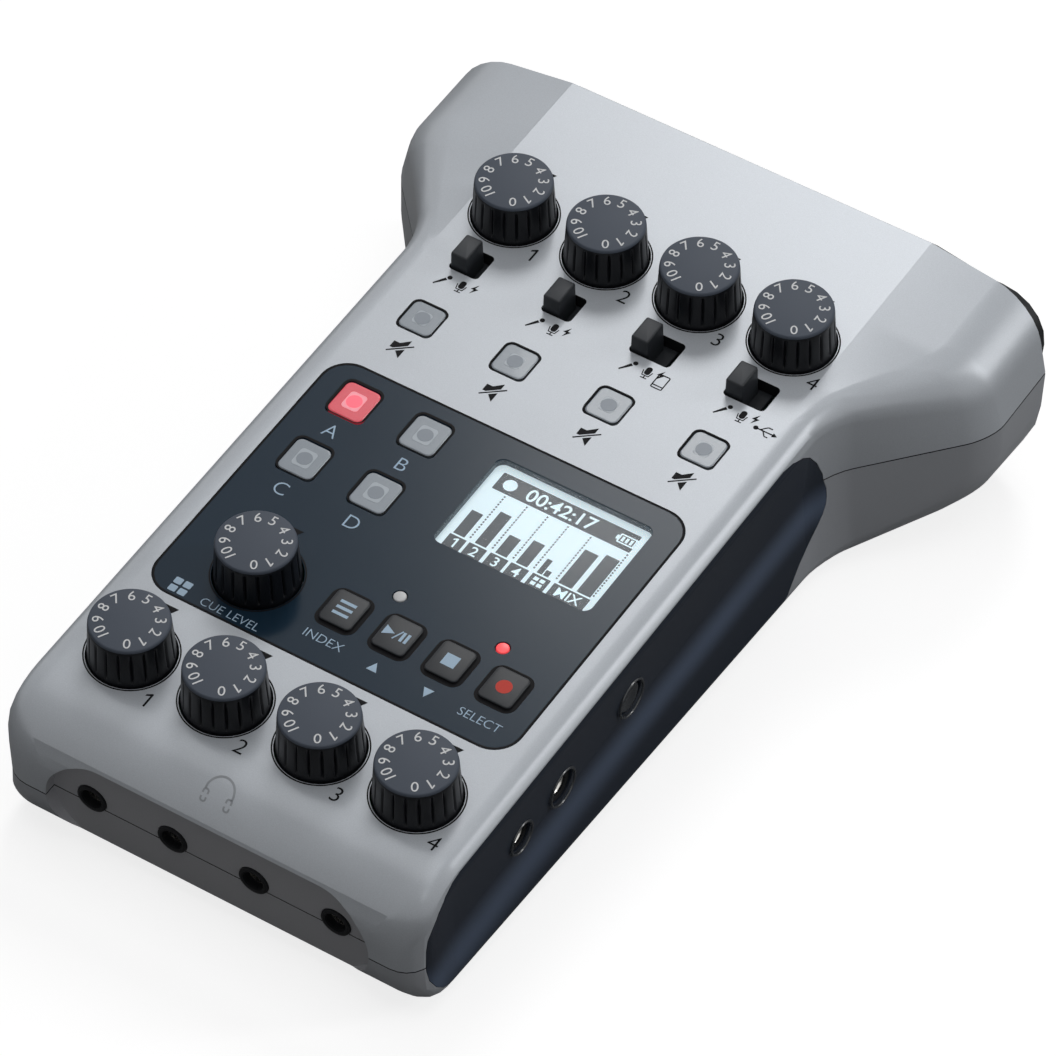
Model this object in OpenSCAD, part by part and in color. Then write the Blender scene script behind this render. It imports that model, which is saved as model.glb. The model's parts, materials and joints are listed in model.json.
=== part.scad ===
// Podcast recorder: a wedge shaped desk unit with two rear wings, nine knobs, slide switches and keys.
// Ground frame: +Z up, +Y to the rear, z = 0 under the feet, origin below the middle of the length.
// Panel frame: y = 0 on the gain knobs' row, z = 0 on the sloping control panel.

/* [Body] */
// Width across the two rear wings
wing_w = 112; // [110:0.5:118]
// Width of the body in front of the wings
body_w = 76.2; // [75.2:0.2:80]
// Length of the top, from the rear edge to the front lip
top_len = 156; // [154:0.5:162]
// Height of the panel above the ground, at the gain knobs
panel_h = 38.8; // [38:0.2:44]
// Slope of the panel down to the front, in degrees
panel_tilt = 5.35; // [4.4:0.05:5.8]
// Distance from the gain knobs to the rear edge
rear_edge = 29.8; // [28.5:0.1:32]
// Radius of the rolled front lip
lip_r = 11.6; // [9.5:0.1:11.8]
// Radius of the body's front corners, seen from above
corner_r = 5.5; // [5:0.1:9]
// Drop of the wings' outer edges below the panel
wing_drop = 2.8; // [1.5:0.1:3.4]
// Drop of the body's edges below the panel
edge_drop = 0.15; // [0.1:0.05:0.4]
// Depth of the joint line between the covers, below the panel
joint_depth = 16; // [15.9:0.05:16.6]

/* [Walls] */
// Thickness of the top wall
top_wall = 2.4; // [2.2:0.1:2.8]
// Thickness of the side walls
side_wall = 3.4; // [3.2:0.1:3.6]
// Thickness of the floor
floor_wall = 3.6; // [3.4:0.1:4]
// Thickness of the front wall
front_wall = 5; // [4.6:0.1:5.4]
// Thickness of the grips
grip_t = 1.6; // [1.2:0.1:1.8]

/* [Knobs] */
// Spacing of the gain knobs
gain_pitch = 17.2; // [16.8:0.1:17.6]
// Spacing of the headphone knobs
phones_pitch = 17; // [16.8:0.1:17.4]
// Diameter of a knob at its foot
knob_d = 13.6; // [12.6:0.1:13.8]
// Diameter of a knob at its top
knob_top_d = 12.7; // [11.8:0.1:13]
// Height of a knob above the panel
knob_h = 7.7; // [6.8:0.1:9]
// Number of flutes round a knob
knob_flutes = 20; // [16:1:24]
// Diameter of the control shafts
shaft_d = 6; // [5.4:0.1:6.2]

/* [Keys] */
// Width and length of a mute button
mute_size = [5.9, 6.1]; // [5.4:0.1:6.4]
// Width and length of a sound pad
pad_size = [6.3, 6.9]; // [5.8:0.1:7]
// Width and length of a transport key
key_size = [5.8, 6.6]; // [5.4:0.1:6.8]
// Height of a mute button above the panel
mute_h = 1; // [0.8:0.1:2.4]
// Height of a sound pad above the panel
pad_h = 1.6; // [0.8:0.1:2.4]
// Height of a transport key above the panel
key_h = 0.9; // [0.8:0.1:2.4]
// Travel of the buttons
button_travel = 0.7; // [0.5:0.05:0.8]
// Width and length of a slide switch lever
lever_size = [3.4, 4.9]; // [3:0.1:5]
// Height of a slide switch lever above the panel
lever_h = 3.2; // [2.4:0.1:4]

/* [Fascia] */
// Width of the control panel
fascia_w = 65.4; // [64.8:0.2:66.2]
// Thickness of the control panel
fascia_t = 1.4; // [1.2:0.1:1.6]
// Width and length of the display window
window_size = [28.1, 19.7]; // [18:0.1:29]

/* [Sockets] */
// Bore of the 3.5 mm jacks
jack_bore_d = 3.6; // [3.55:0.05:3.7]
// Spacing of the headphone jacks
jack_pitch = 14.6; // [14.2:0.1:15]
// Bore of a microphone socket
xlr_bore_d = 19.3; // [19.1:0.1:19.6]
// Spacing of the microphone sockets
xlr_pitch = 25.6; // [25.2:0.1:25.8]

/* [Battery bay] */
// Diameter of a cell
cell_d = 14.3; // [13.9:0.1:14.4]
// Length of a cell
cell_len = 50.5; // [49.5:0.1:50.5]
// Thickness of the battery cover
cover_t = 2.2; // [2:0.1:2.4]
// Diameter of the battery cover's hinge pins
hinge_d = 1.3; // [1.1:0.1:1.4]

/* [Hidden] */
$fn = 48;

// Clearances: running fit of a pin, room round a sliding piece, gap of a seam
running_gap = 0.05;
slide_gap = 0.3;
seam = 0.1;
// Overruns of cutters, and how far a pillar starts inside its wall
over = 1;
past_rear = 8;
root_in = 0.4;

// Ground frame heights and reaches
foot_h = 0.7;
foot_r = 4.2;
foot_seat = 0.6;
front_lip = top_len - rear_edge;
rear_out = 2.4;
gain_y = (front_lip * cos(panel_tilt) - lip_r * sin(panel_tilt)
    - rear_edge * cos(panel_tilt) - rear_out) / 2;
rear_y = gain_y + rear_edge * cos(panel_tilt);
base_drop = (panel_h - foot_h) / cos(panel_tilt);
joint_z = -joint_depth;
far = 200;

// Skin: edge radii, waist of the sides and the wings' plan
edge_r = 3.8;
wing_r = 7.4;
low_r = 3.4;
wing_low_r = 18;
chin_r = 9;
sill = 0.4;
waist = 1.4;
crease_x = 33.5;
crease_gap = 1;
wing_lean = 3.4;
blend_y = -14.5;
wing_slope = 0.84;
root_y = -9.6;
root_run = 4.2;
tip_run = 3.4;
round_weight = 0.72;
arc_steps = 6;
lip_steps = 9;
flank_steps = 4;
// Insets of side, top, floor and front for the outer skin, the grips' bed and the hollow inside
skin = [0, 0, 0, 0];
bed = [grip_t, grip_t, grip_t, grip_t];
hollow = [side_wall, top_wall, floor_wall, front_wall];

// Rows on the panel, as shares of the way from the gain knobs to the front lip
function row(share) = -share * front_lip;
switch_y = row(0.099);
mute_y = row(0.2124);
fascia_back = row(0.3185);
fascia_front = row(0.7496);
phones_y = row(0.8487);
// Columns on the control panel, as shares of half its width
function column(share) = share * fascia_w / 2;
// Places along the rows
fascia_mid = (fascia_back + fascia_front) / 2;
fascia_len = fascia_back - fascia_front;
fascia_r = 4.7;
ledge = 2.1;
side_of = [-1.5, -0.5, 0.5, 1.5];
gain_x = [for (s = side_of) s * gain_pitch];
phones_x = [for (s = side_of) s * phones_pitch];
pad_knob_at = [column(-0.5566), row(0.6672)];
pads_at = [for (y = [row(0.374), row(0.4841)], x = [column(-0.7676), column(-0.367)]) [x, y]];
keys_at = [for (share = [-0.0917, 0.1988, 0.4893, 0.7798]) [column(share), row(0.6609)]];
mutes_at = [for (x = gain_x) [x, mute_y]];
lamps_at = [[column(0.0734), row(0.6054)], [column(0.6422), row(0.6078)]];
lamp_r = 1.1;
window_at = [column(0.4312), row(0.4311)];
knobs_at = concat([for (x = gain_x) [x, 0]], [for (x = phones_x) [x, phones_y]], [pad_knob_at]);
slots_w = [5.5, 5.5, 7.5, 7.5];
slot_room = 0.4;
slot_len = lever_size.y + 2 * slot_room;

// Faces of the side walls at the joint line
side_face = body_w / 2 - waist;
inner_face = side_face - side_wall;

// Boards and the parts standing on them, in panel frame heights
board_room = 0.8;
board_w = 2 * (inner_face - board_room);
board_top = -9.2;
board_t = 1.5;
board_under = board_top - board_t;
board_rear = 5.8;
board_notch = 4.4;
pot_size = [9.5, 10.5, 5];
bushing_r = 4;
bushing_top = -3.4;
knob_r = knob_d / 2;
hole_r = knob_r + slide_gap;
knob_sink = 1.2;
shaft_r = shaft_d / 2;
flat_deep = 1.35;
shaft_flat = shaft_r - flat_deep;
knob_cap = 2;
shaft_top = knob_h - knob_cap;
flange_t = 0.8;
flange_rim = 0.8;
plunger_top = -7;
plunger_r = 1.2;
tact_size = [4.6, 4.6, 1.6];
stem_w = 2.4;
pillar_root = root_in - top_wall;
slot_r = 0.8;
button_r = 1.1;
seam_room = [2, 2] * seam;
board_gap = 1.7;
board_front = front_wall - front_lip + board_gap;
pot_base = 1;
pot_floor = board_top + pot_base;
switch_top = -5.8;
switch_deep = 1.4;
switch_rim = 2;
switch_len = 4.4;
lever_dip = 0.9;
lever_gap = 0.2;
lever_slant = 0.5;
lever_side = 1.1;
plate_rim = 0.2;
plate_top = -top_wall - seam;
knob_foot = 0.8;
knob_bevel = 0.5;
flute_r = 0.8;
flute_out = 0.35;
bore_gap = 0.02;
window_r = 1.5;
display_t = 2.6;

// Case screws: place on the panel, and whether the main board lies between the bosses
wing_screw = [37.6, 3.2, 0];
middle_screw = [inner_face - 5.3, row(0.2797), 1];
front_screw = [inner_face - 4.3, row(0.911), 1];
screws_at = [for (s = [-1, 1], p = [wing_screw, middle_screw, front_screw]) [s * p.x, p.y, p.z]];
boss_root = 1;
pillar_r = 2.6;
boss_r = 3.2;
screw_r = 1;
screw_head = [2.5, 1.5];
screw_web = 4;
screw_bite = 5.5;

// Front recess with the headphone jacks
recess_r = 9.2;
recess_x = 19.8;
recess_rise = 0.4;
recess_z = recess_rise - joint_depth;
recess_depth = 2.2;
jack_z = -14.5;
jack_wall_y = recess_depth - front_lip;
jack_nose_r = 2.55;
jack_bore_len = 14;
jack_body = [6.4, 12.5];
jack_under = -17.7;
jack_front = front_wall - front_lip + slide_gap;

// Right side: power button and two jacks. Left side: card slot and two ports
power_at = [row(0.5254), -12];
power_r = 2.75;
power_boss_r = 3.85;
power_boss = 2;
power_face = inner_face - power_boss;
power_stem = 1.5;
power_end = power_face - flange_t - power_stem;
plunger_len = 1;
power_tact = power_end - button_travel - plunger_len;
power_under = power_at[1] - tact_size.y / 2;
button_room = 0.25;
mouth_in = 0.3;
side_mouth = side_face - mouth_in;
side_jack_in = inner_face - slide_gap;
side_jack_drop = 2.7;
side_jacks_at = [[row(0.6783), 2.9], [row(0.7686), 2.5]];
side_jack_z = -13.2;
ports_at = [row(0.3645), row(0.4596)];
port_size = [9, 3.2];
port_z = board_under - port_size.y / 2;
port_len = 8;
port_r = 1.5;
port_wall = 0.4;
port_room = 0.4;
port_tongue = [6.4, 0.7];
card_at = row(0.6985);
card_size = [25, 2.4];
card_body = [24, 28, 3];

// Rear: microphone sockets, their panel and board
xlr_x = [for (s = side_of) s * xlr_pitch];
xlr_z = 19;
xlr_r = 10.8;
xlr_flange_r = 11.8;
xlr_core_r = 7.85;
xlr_depth = 13;
xlr_len = 18;
xlr_core_in = 1;
xlr_flange_t = 1.5;
rear_t = 5;
xlr_mouth = rear_y + rear_out;
xlr_floor = xlr_mouth - xlr_depth;
xlr_end = xlr_mouth - xlr_len;
rear_in = xlr_mouth - rear_t;
input_board_size = [92, 1.6, 20];

// Battery bay, in the ground frame
cell_gap = 0.5;
bay_w = 2 * cell_d + 3 * cell_gap;
contact_t = 0.4;
contact_h = 9.6;
spring_len = 2.6;
spring_r = 3;
bay_len = cell_len + 2 * contact_t + 2 * spring_len;
bay_y = gain_y + row(0.3);
bay_wall = 1.2;
bay_floor = foot_h + cover_t;
cell_z = bay_floor + cell_gap + cell_d / 2;
bay_top = cell_z + cell_d / 2 + cell_gap;
cover_lip = 2.6;
cover_w = bay_w + 2 * cover_lip;
cover_len = bay_len + 2 * cover_lip;
cover_gap = 0.25;
hinge_y = bay_y - cover_len / 2 + cover_t / 2;
hinge_z = foot_h + cover_t / 2;
hinge_reach = 2;
hinge_end = cover_w / 2 + hinge_reach;
notch_r = 5;
notch_deep = 1;
// Grip outline: top, ends and foot, in panel frame heights and distances
grip_deep = 2.6;
grip_in = body_w / 2 - grip_deep;
grip_top = -2.4;
grip_front = 3.1;
grip_rear = -9.6;
grip_heel = 13;
grip_toe = 9;
grip_sole = 11;
grip_foot = 1.4;
grip_nose = 4;
grip_chin = -1;
grip_heel_r = [2, 4, 10];
grip_tail = [7, 13.5];
// Feet: distance from the middle, from the front lip and from the rear
foot_x = 28;
foot_front = 26;
foot_rear = 12;
feet_at = [for (x = [-foot_x, foot_x], y = [gain_y - front_lip + foot_front, rear_y - foot_rear]) [x, y]];

// Top of a case screw's boss, and the hole round a button
function boss_top(p) = p[2] == 1 ? board_under : board_top;
function hole_size(size) = size + [2, 2] * slide_gap;
// Lead from a to b by t, held between 0 and 1
function mix(a, b, t) = a + (b - a) * min(1, max(0, t));
// Unit vector from a to b
function heading(a, b) = (b - a) / norm(b - a);
// Rounded corner at k between points a and b
function conic(a, k, b, n) = [for (i = [0:n])
    let (t = i / n, u = 1 - t, m = 2 * round_weight * u * t)
        (u * u * a + m * k + t * t * b) / (u * u + m + t * t)];
// Rise of a quarter round of radius r at a distance d from its end
function quarter(r, d) = r - sqrt(max(0, r * r - pow(max(0, r - d), 2)));

// Plan of the right side, from the lip to the rear: [y, half width]
function lip_y(inset) = inset[3] - front_lip;
function lip_stations(inset) = let (r = lip_r - inset[1], c = corner_r - inset[0])
    [for (i = [0:lip_steps]) let (d = r * (1 - cos(90 * i / lip_steps)))
        [lip_y(inset) + d, body_w / 2 - inset[0] - quarter(c, d)]];
function wing_stations(inset) = let (
        body = body_w / 2 - inset[0],
        wing = wing_w / 2 - inset[0],
        tip_y = root_y + (wing - body) / wing_slope,
        root_end = [root_y + root_run, body + root_run * wing_slope],
        tip_start = [tip_y - tip_run, wing - tip_run * wing_slope])
    concat(
        conic([blend_y, body], [root_y, body], root_end, arc_steps),
        [for (i = [1:flank_steps - 1]) mix(root_end, tip_start, i / flank_steps)],
        conic(tip_start, [tip_y, wing], [tip_y + tip_run, wing], arc_steps));
function stations(inset, rear) =
    concat(lip_stations(inset), wing_stations(inset), [[rear, wing_w / 2 - inset[0]]]);

// Heights of the skin's top and bottom at y
function top_z(y, inset) = -inset[1] - quarter(lip_r - inset[1], y - lip_y(inset));
function base_z(y) = -base_drop - y * tan(panel_tilt);
function low_z(y, inset) = base_z(y) + inset[2] + quarter(chin_r - inset[2], y - lip_y(inset));

// Right half of the section at a station, from the top to the floor, or its part above or below the joint
function half_section(y, half, inset, part) = let (
        wing = min(1, max(0, (half + inset[0] - body_w / 2) * 2 / (wing_w - body_w))),
        top = top_z(y, inset),
        low = low_z(y, inset),
        r = mix(edge_r, wing_r, wing) - inset[1] / 2,
        crease = [min(crease_x, half - r - crease_gap), top],
        joint = [half - waist * (1 - wing) * min(1, (y - lip_y(inset)) / lip_r), joint_z],
        shoulder = [half - wing_lean * wing, top - mix(edge_drop, wing_drop, wing)],
        low_round = min(mix(low_r, wing_low_r, wing) - inset[2] / 2, joint_z - low - sill),
        heel = [half, low])
    concat(
        part == "lower" ? [] : concat([crease], conic(shoulder + r * heading(shoulder, crease), shoulder,
            shoulder + r * heading(shoulder, joint), arc_steps)),
        [joint],
        part == "upper" ? [] : conic([half, low + low_round], heel, [half - low_round, low], arc_steps));
// Both halves of a section as points, where the rearmost one stands upright on the ground
function section(station, inset, part) = let (
        side = half_section(station[0], station[1], inset, part),
        n = len(side),
        upright = station[0] == rear_edge ? tan(panel_tilt) : 0)
    [for (i = [0:2 * n - 1]) let (p = i < n ? side[i] : side[2 * n - 1 - i])
        [i < n ? p.x : -p.x, station[0] + p.y * upright, p.y]];
function sections(inset, rear, part) = [for (s = stations(inset, rear)) section(s, inset, part)];

// Two triangles across the corners a, b, c, d of a patch
function patch(a, b, c, d) = [[a, b, c], [a, c, d]];
// Patches between rings of n points that start at index base, over the given count of edges. The diagonals
// of the left half mirror those of the right half
function strips(base, n, rings, edges, first = 0) = [for (i = [0:rings - 2], j = [first:first + edges - 1])
    let (a = base + i * n, b = a + n, m = j % n, k = (j + 1) % n)
        each (m < n / 2 ? patch(a + m, b + m, b + k, a + k) : patch(b + m, b + k, a + k, a + m))];
function turned(faces) = [for (f = faces) [for (i = [len(f) - 1:-1:0]) f[i]]];

// Closed solid of the body's skin, set in by the given insets and running back to rear
module body_solid(inset, rear) {
    rings = sections(inset, rear, "whole");
    n = len(rings[0]);
    last = (len(rings) - 1) * n;
    polyhedron([for (ring = rings) each ring], concat(strips(0, n, len(rings), n),
        [[for (j = [0:n - 1]) j], [for (j = [n - 1:-1:0]) last + j]]));
}
// Hollow cover above or below the joint line, closed at the front and open at the rear
module cover_shell(part) {
    outer = sections(skin, rear_edge, part);
    inner = sections(hollow, rear_edge, part);
    n = len(outer[0]);
    rings = len(outer);
    inside = n * rings;
    last = n * (rings - 1);
    // Points at the joint line lie at the ends of the upper half, and at the start of the lower half
    right = part == "upper" ? n / 2 - 1 : 0;
    left = n - 1 - right;
    // The skin leaves out the edge that runs across the open side
    open = part == "upper" ? n / 2 : 0;
    skin_faces = concat(strips(0, n, rings, n - 1, open), [[for (j = [0:n - 1]) j]]);
    hollow_faces = turned(concat(strips(inside, n, rings, n - 1, open), [[for (j = [0:n - 1]) inside + j]]));
    rear_rim = [for (j = [open:open + n - 2]) let (a = last + j % n, b = last + (j + 1) % n)
        each patch(a, inside + a, inside + b, b)];
    side_rims = [for (i = [0:rings - 2]) let (a = i * n, b = a + n) each concat(
        patch(a + right, b + right, inside + b + right, inside + a + right),
        patch(inside + a + left, inside + b + left, b + left, a + left))];
    front_rim = patch(right, inside + right, inside + left, left);
    rims = concat(side_rims, front_rim);
    polyhedron([for (ring = concat(outer, inner)) each ring],
        concat(skin_faces, hollow_faces, rear_rim, part == "upper" ? rims : turned(rims)));
}

// Frame of the sloping panel
module on_panel() { translate([0, gain_y, panel_h]) rotate([panel_tilt, 0, 0]) children(); }
module at(p) { translate([p.x, p.y, 0]) children(); }

// Rounded rectangle and a bar of it between two heights
module rounded(size, r) {
    square([size.x - 2 * r, size.y], center = true);
    square([size.x, size.y - 2 * r], center = true);
    for (x = [-1, 1], y = [-1, 1]) translate([x * (size.x / 2 - r), y * (size.y / 2 - r)]) circle(r);
}
module bar(size, r, z0, z1) { translate([0, 0, z0]) linear_extrude(z1 - z0) rounded(size, r); }
module block(size, z0, z1) {
    translate([-size.x / 2, -size.y / 2, z0]) cube([size.x, size.y, z1 - z0]);
}
module rod(r, z0, z1) { translate([0, 0, z0]) cylinder(r = r, h = z1 - z0); }
// Rods along X and along Y
module rod_x(r, x0, x1) { translate([x0, 0, 0]) rotate([0, 90, 0]) cylinder(r = r, h = x1 - x0); }
module rod_y(r, y0, y1) { translate([0, y0, 0]) rotate([-90, 0, 0]) cylinder(r = r, h = y1 - y0); }

// Outline of a grip on the body's side, [y, z], grown by e
function grip_outline(e) = let (
        top = grip_top + e,
        front = grip_front - front_lip - e,
        rear = grip_rear + e,
        heel_y = rear - grip_heel,
        toe_y = front + grip_toe,
        sole_y = front + grip_sole,
        foot = grip_foot - e)
    concat(
        conic([front, joint_z + grip_nose], [front, top], [toe_y, top], arc_steps),
        conic([heel_y, top], [rear - grip_heel_r[0], top], [rear, joint_z - grip_heel_r[0]], arc_steps),
        conic([rear, joint_z - grip_heel_r[1]], [rear, joint_z - grip_heel_r[2] - e],
            [rear - grip_tail.x, joint_z - grip_tail.y - e], arc_steps),
        [[heel_y, base_z(heel_y) + foot]],
        conic([sole_y, base_z(sole_y) + foot], [front, base_z(front) + foot + grip_chin],
            [front, joint_z - over], arc_steps));
module grip_prism(e) {
    translate([grip_in - e, 0, 0]) rotate([90, 0, 90]) linear_extrude(far) polygon(grip_outline(e));
}
// Beds of both grips, as cut from the covers
module grip_beds() {
    difference() {
        for (side = [0, 1]) mirror([side, 0, 0]) grip_prism(seam);
        body_solid(bed, rear_edge + over);
    }
}
// The right grip, or the left one, before its openings are cut
module grip_blank(left) {
    difference() {
        intersection() {
            body_solid(skin, rear_edge + over);
            mirror([left, 0, 0]) grip_prism(0);
        }
        body_solid(bed, rear_edge + 2 * over);
    }
}

// Stadium shaped recess in the front lip
module jack_recess() {
    translate([0, -front_lip - over, recess_z]) rotate([-90, 0, 0]) linear_extrude(recess_depth + over) {
        square([2 * recess_x, 2 * recess_r], center = true);
        for (x = [-recess_x, recess_x]) translate([x, 0]) circle(recess_r);
    }
}
module jack_places() { for (s = side_of) translate([s * jack_pitch, 0, jack_z]) children(); }
// Openings on the right for the power button and jacks, with room e round the jacks
module right_openings(e) {
    translate([0, power_at[0], power_at[1]]) rod_x(power_r + button_room, 0, far);
    for (j = side_jacks_at) translate([0, j[0], side_jack_z]) rod_x(j[1] + e, 0, far);
}
// Openings on the left for the ports and the card
module left_openings() {
    for (y = ports_at) translate([-far, y, port_z])
        rotate([90, 0, 90]) linear_extrude(far) rounded(port_size + [port_room, port_room], port_size.y / 2);
    translate([-far, card_at - card_size.x / 2, board_under - card_size.y])
        cube([far, card_size.x, card_size.y]);
}

// Upper or lower cover with the beds and openings that both share
module cover_walls(part) {
    on_panel() difference() {
        difference() {
            cover_shell(part);
            jack_recess();
        }
        grip_beds();
        jack_places() rod_y(jack_nose_r + seam, jack_wall_y - over / 2, jack_front + over);
        right_openings(seam);
        left_openings();
    }
}

module top_cover() {
    color("#c8cbd0") difference() {
        union() {
            cover_walls("upper");
            on_panel() {
                for (p = screws_at) at(p) rod(pillar_r, board_top, pillar_root);
                translate([0, power_at[0], power_at[1]]) rod_x(power_boss_r, power_face, inner_face + over);
            }
        }
        on_panel() {
            for (i = [0:7]) at(knobs_at[i]) rod(hole_r, -top_wall - over, over);
            for (i = [0:3]) at([gain_x[i], switch_y])
                bar([slots_w[i], slot_len], slot_r, -top_wall - over, over);
            for (p = mutes_at) at(p) bar(hole_size(mute_size), button_r, -top_wall - over, over);
            at([0, fascia_mid]) {
                bar([fascia_w, fascia_len] + seam_room, fascia_r + seam, -fascia_t, over);
                bar([fascia_w, fascia_len] - [2, 2] * ledge, fascia_r - ledge, -top_wall - over, over);
            }
            for (p = screws_at) at(p)
                rod(screw_r + running_gap, board_top - over, board_top + screw_bite + over / 2);
            translate([0, power_at[0], power_at[1]]) rod_x(power_r + button_room, power_face - over, far);
        }
    }
}

module bottom_cover() {
    color("#4b4e52") difference() {
        union() {
            cover_walls("lower");
            on_panel() for (p = screws_at) at(p) rod(boss_r, base_z(p.y) + boss_root, boss_top(p));
            translate([0, bay_y, 0])
                block([bay_w, bay_len] + [2, 2] * bay_wall, bay_floor, bay_top + bay_wall);
        }
        translate([0, bay_y, 0]) {
            block([bay_w, bay_len], 0, bay_top);
            block([cover_w, cover_len] + [2, 2] * cover_gap, 0, bay_floor);
            translate([0, cover_len / 2, 0]) rod(notch_r, 0, foot_h + notch_deep);
        }
        translate([0, hinge_y, hinge_z]) rod_x(hinge_d / 2 + running_gap, -hinge_end, hinge_end);
        for (p = feet_at) at(p) rod(foot_r + seam, 0, foot_h + foot_seat);
        on_panel() for (p = screws_at) at(p) {
            rod(screw_head[0] + slide_gap, base_z(p.y) - floor_wall, boss_top(p) - screw_web);
            rod(screw_r + slide_gap, base_z(p.y), boss_top(p) + over);
        }
    }
}

module grip_right() {
    color("#23282f") on_panel() difference() {
        grip_blank(0);
        right_openings(seam);
    }
}
module grip_left() {
    color("#23282f") on_panel() difference() {
        grip_blank(1);
        left_openings();
    }
}
module rear_panel() {
    color("#1a1b1d") difference() {
        intersection() {
            on_panel() body_solid(hollow, rear_edge + past_rear);
            translate([-far / 2, rear_in, 0]) cube([far, rear_t, far]);
        }
        for (x = xlr_x) translate([x, 0, xlr_z]) rod_y(xlr_r + seam, 0, far);
    }
}

module control_panel() {
    color("#36404a") on_panel() difference() {
        at([0, fascia_mid]) bar([fascia_w, fascia_len], fascia_r, -fascia_t, 0);
        at(pad_knob_at) rod(hole_r, -fascia_t - over, over);
        for (p = pads_at) at(p) bar(hole_size(pad_size), button_r, -fascia_t - over, over);
        for (p = keys_at) at(p) bar(hole_size(key_size), button_r, -fascia_t - over, over);
        for (p = lamps_at) at(p) rod(lamp_r + seam, -fascia_t - over, over);
        at(window_at) bar(window_size, window_r, -fascia_t - over, over);
    }
}
module display_window() {
    color("#8c99a0") on_panel() at(window_at) bar(window_size - [2, 2] * running_gap, window_r, -fascia_t, 0);
}
module display_module() {
    color("#3b4a55") on_panel() at(window_at)
        block(window_size + [2, 2] * window_r, -fascia_t - display_t, -fascia_t);
}
module status_leds() {
    color("#e8e8e0") on_panel() for (p = lamps_at) at(p) rod(lamp_r, board_top, 0);
}

module main_board() {
    color("#1f4d35") on_panel() difference() {
        translate([-board_w / 2, board_front, board_under])
            cube([board_w, board_rear - board_front, board_t]);
        for (p = screws_at) if (p[2] == 1) at(p)
            rod(screw_r + slide_gap, board_under - over, board_top + over);
        at([board_w / 2, power_at[0]]) block([2, 2] * board_notch, board_under - over, board_top + over);
    }
}
module input_board() {
    size = input_board_size;
    color("#1f4d35") translate([-size.x / 2, xlr_end - size.y, xlr_z - size.z / 2]) cube(size);
}
module pot_bodies() {
    color("#55585c") on_panel() for (p = knobs_at) at(p) difference() {
        union() {
            block(pot_size, board_top, board_top + pot_size.z);
            rod(bushing_r, board_top + pot_size.z, bushing_top);
        }
        rod(shaft_r + running_gap, pot_floor, 0);
    }
}
module slide_switch_bodies() {
    color("#6b6e72") on_panel() for (i = [0:3]) at([gain_x[i], switch_y]) difference() {
        block([slots_w[i] + 2 * switch_rim, switch_len], board_top, switch_top);
        block([slots_w[i], stem_w + 2 * slide_gap], switch_top - switch_deep, over);
    }
}
module tact_switches() {
    color("#2a2a2c") on_panel() {
        for (p = concat(mutes_at, pads_at, keys_at)) at(p) {
            block(tact_size, board_top, board_top + tact_size.z);
            rod(plunger_r, board_top + tact_size.z, plunger_top);
        }
        translate([0, power_at[0], 0]) {
            translate([power_tact - tact_size.z, 0, 0])
                block([2 * tact_size.z, tact_size.y], power_under, board_under);
            translate([0, 0, power_at[1]]) rod_x(plunger_r, power_tact, power_end - button_travel - seam);
        }
    }
}

module headphone_jacks() {
    color("#3a3c3f") on_panel() jack_places() difference() {
        union() {
            rod_y(jack_nose_r, jack_wall_y, jack_front + over);
            translate([-jack_body.x / 2, jack_front, jack_under - jack_z])
                cube([jack_body.x, jack_body.y, board_under - jack_under]);
        }
        rod_y(jack_bore_d / 2, jack_wall_y - over, jack_wall_y + jack_bore_len);
    }
}
module side_jacks() {
    color("#3a3c3f") on_panel() for (j = side_jacks_at) translate([0, j[0], side_jack_z]) difference() {
        union() {
            rod_x(j[1], side_jack_in, side_mouth);
            translate([side_jack_in - jack_body.y, -jack_body.x / 2, -side_jack_drop])
                cube([jack_body.y, jack_body.x, board_under - side_jack_z + side_jack_drop]);
        }
        rod_x(jack_bore_d / 2, side_mouth - jack_bore_len, side_mouth + over);
    }
}
module usb_ports() {
    color("#9a9da1") on_panel() for (y = ports_at) translate([-side_mouth, y, port_z]) rotate([90, 0, 90]) {
        difference() {
            bar(port_size, port_r, 0, port_len);
            bar(port_size - [2, 2] * port_wall, port_r - port_wall, -over, port_len - over);
        }
        block(port_tongue, over, port_len);
    }
}
module card_slot() {
    color("#8b8e92") on_panel() translate([slide_gap - inner_face, card_at, 0]) difference() {
        translate([0, -card_body.y / 2, board_under - card_body.z]) cube(card_body);
        translate([-over, -card_size.x / 2, board_under - card_size.y])
            cube([card_body.x, card_size.x, card_size.y - port_wall]);
    }
}
module xlr_shells() {
    color("#202124") for (x = xlr_x) translate([x, 0, xlr_z]) difference() {
        union() {
            rod_y(xlr_r, xlr_end, xlr_mouth);
            rod_y(xlr_flange_r, rear_in - xlr_flange_t, rear_in);
        }
        rod_y(xlr_bore_d / 2, xlr_floor, xlr_mouth + over);
    }
}
module xlr_cores() {
    color("#17181a") for (x = xlr_x) translate([x, 0, xlr_z])
        rod_y(xlr_core_r, xlr_floor, xlr_mouth - xlr_core_in);
}

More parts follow.
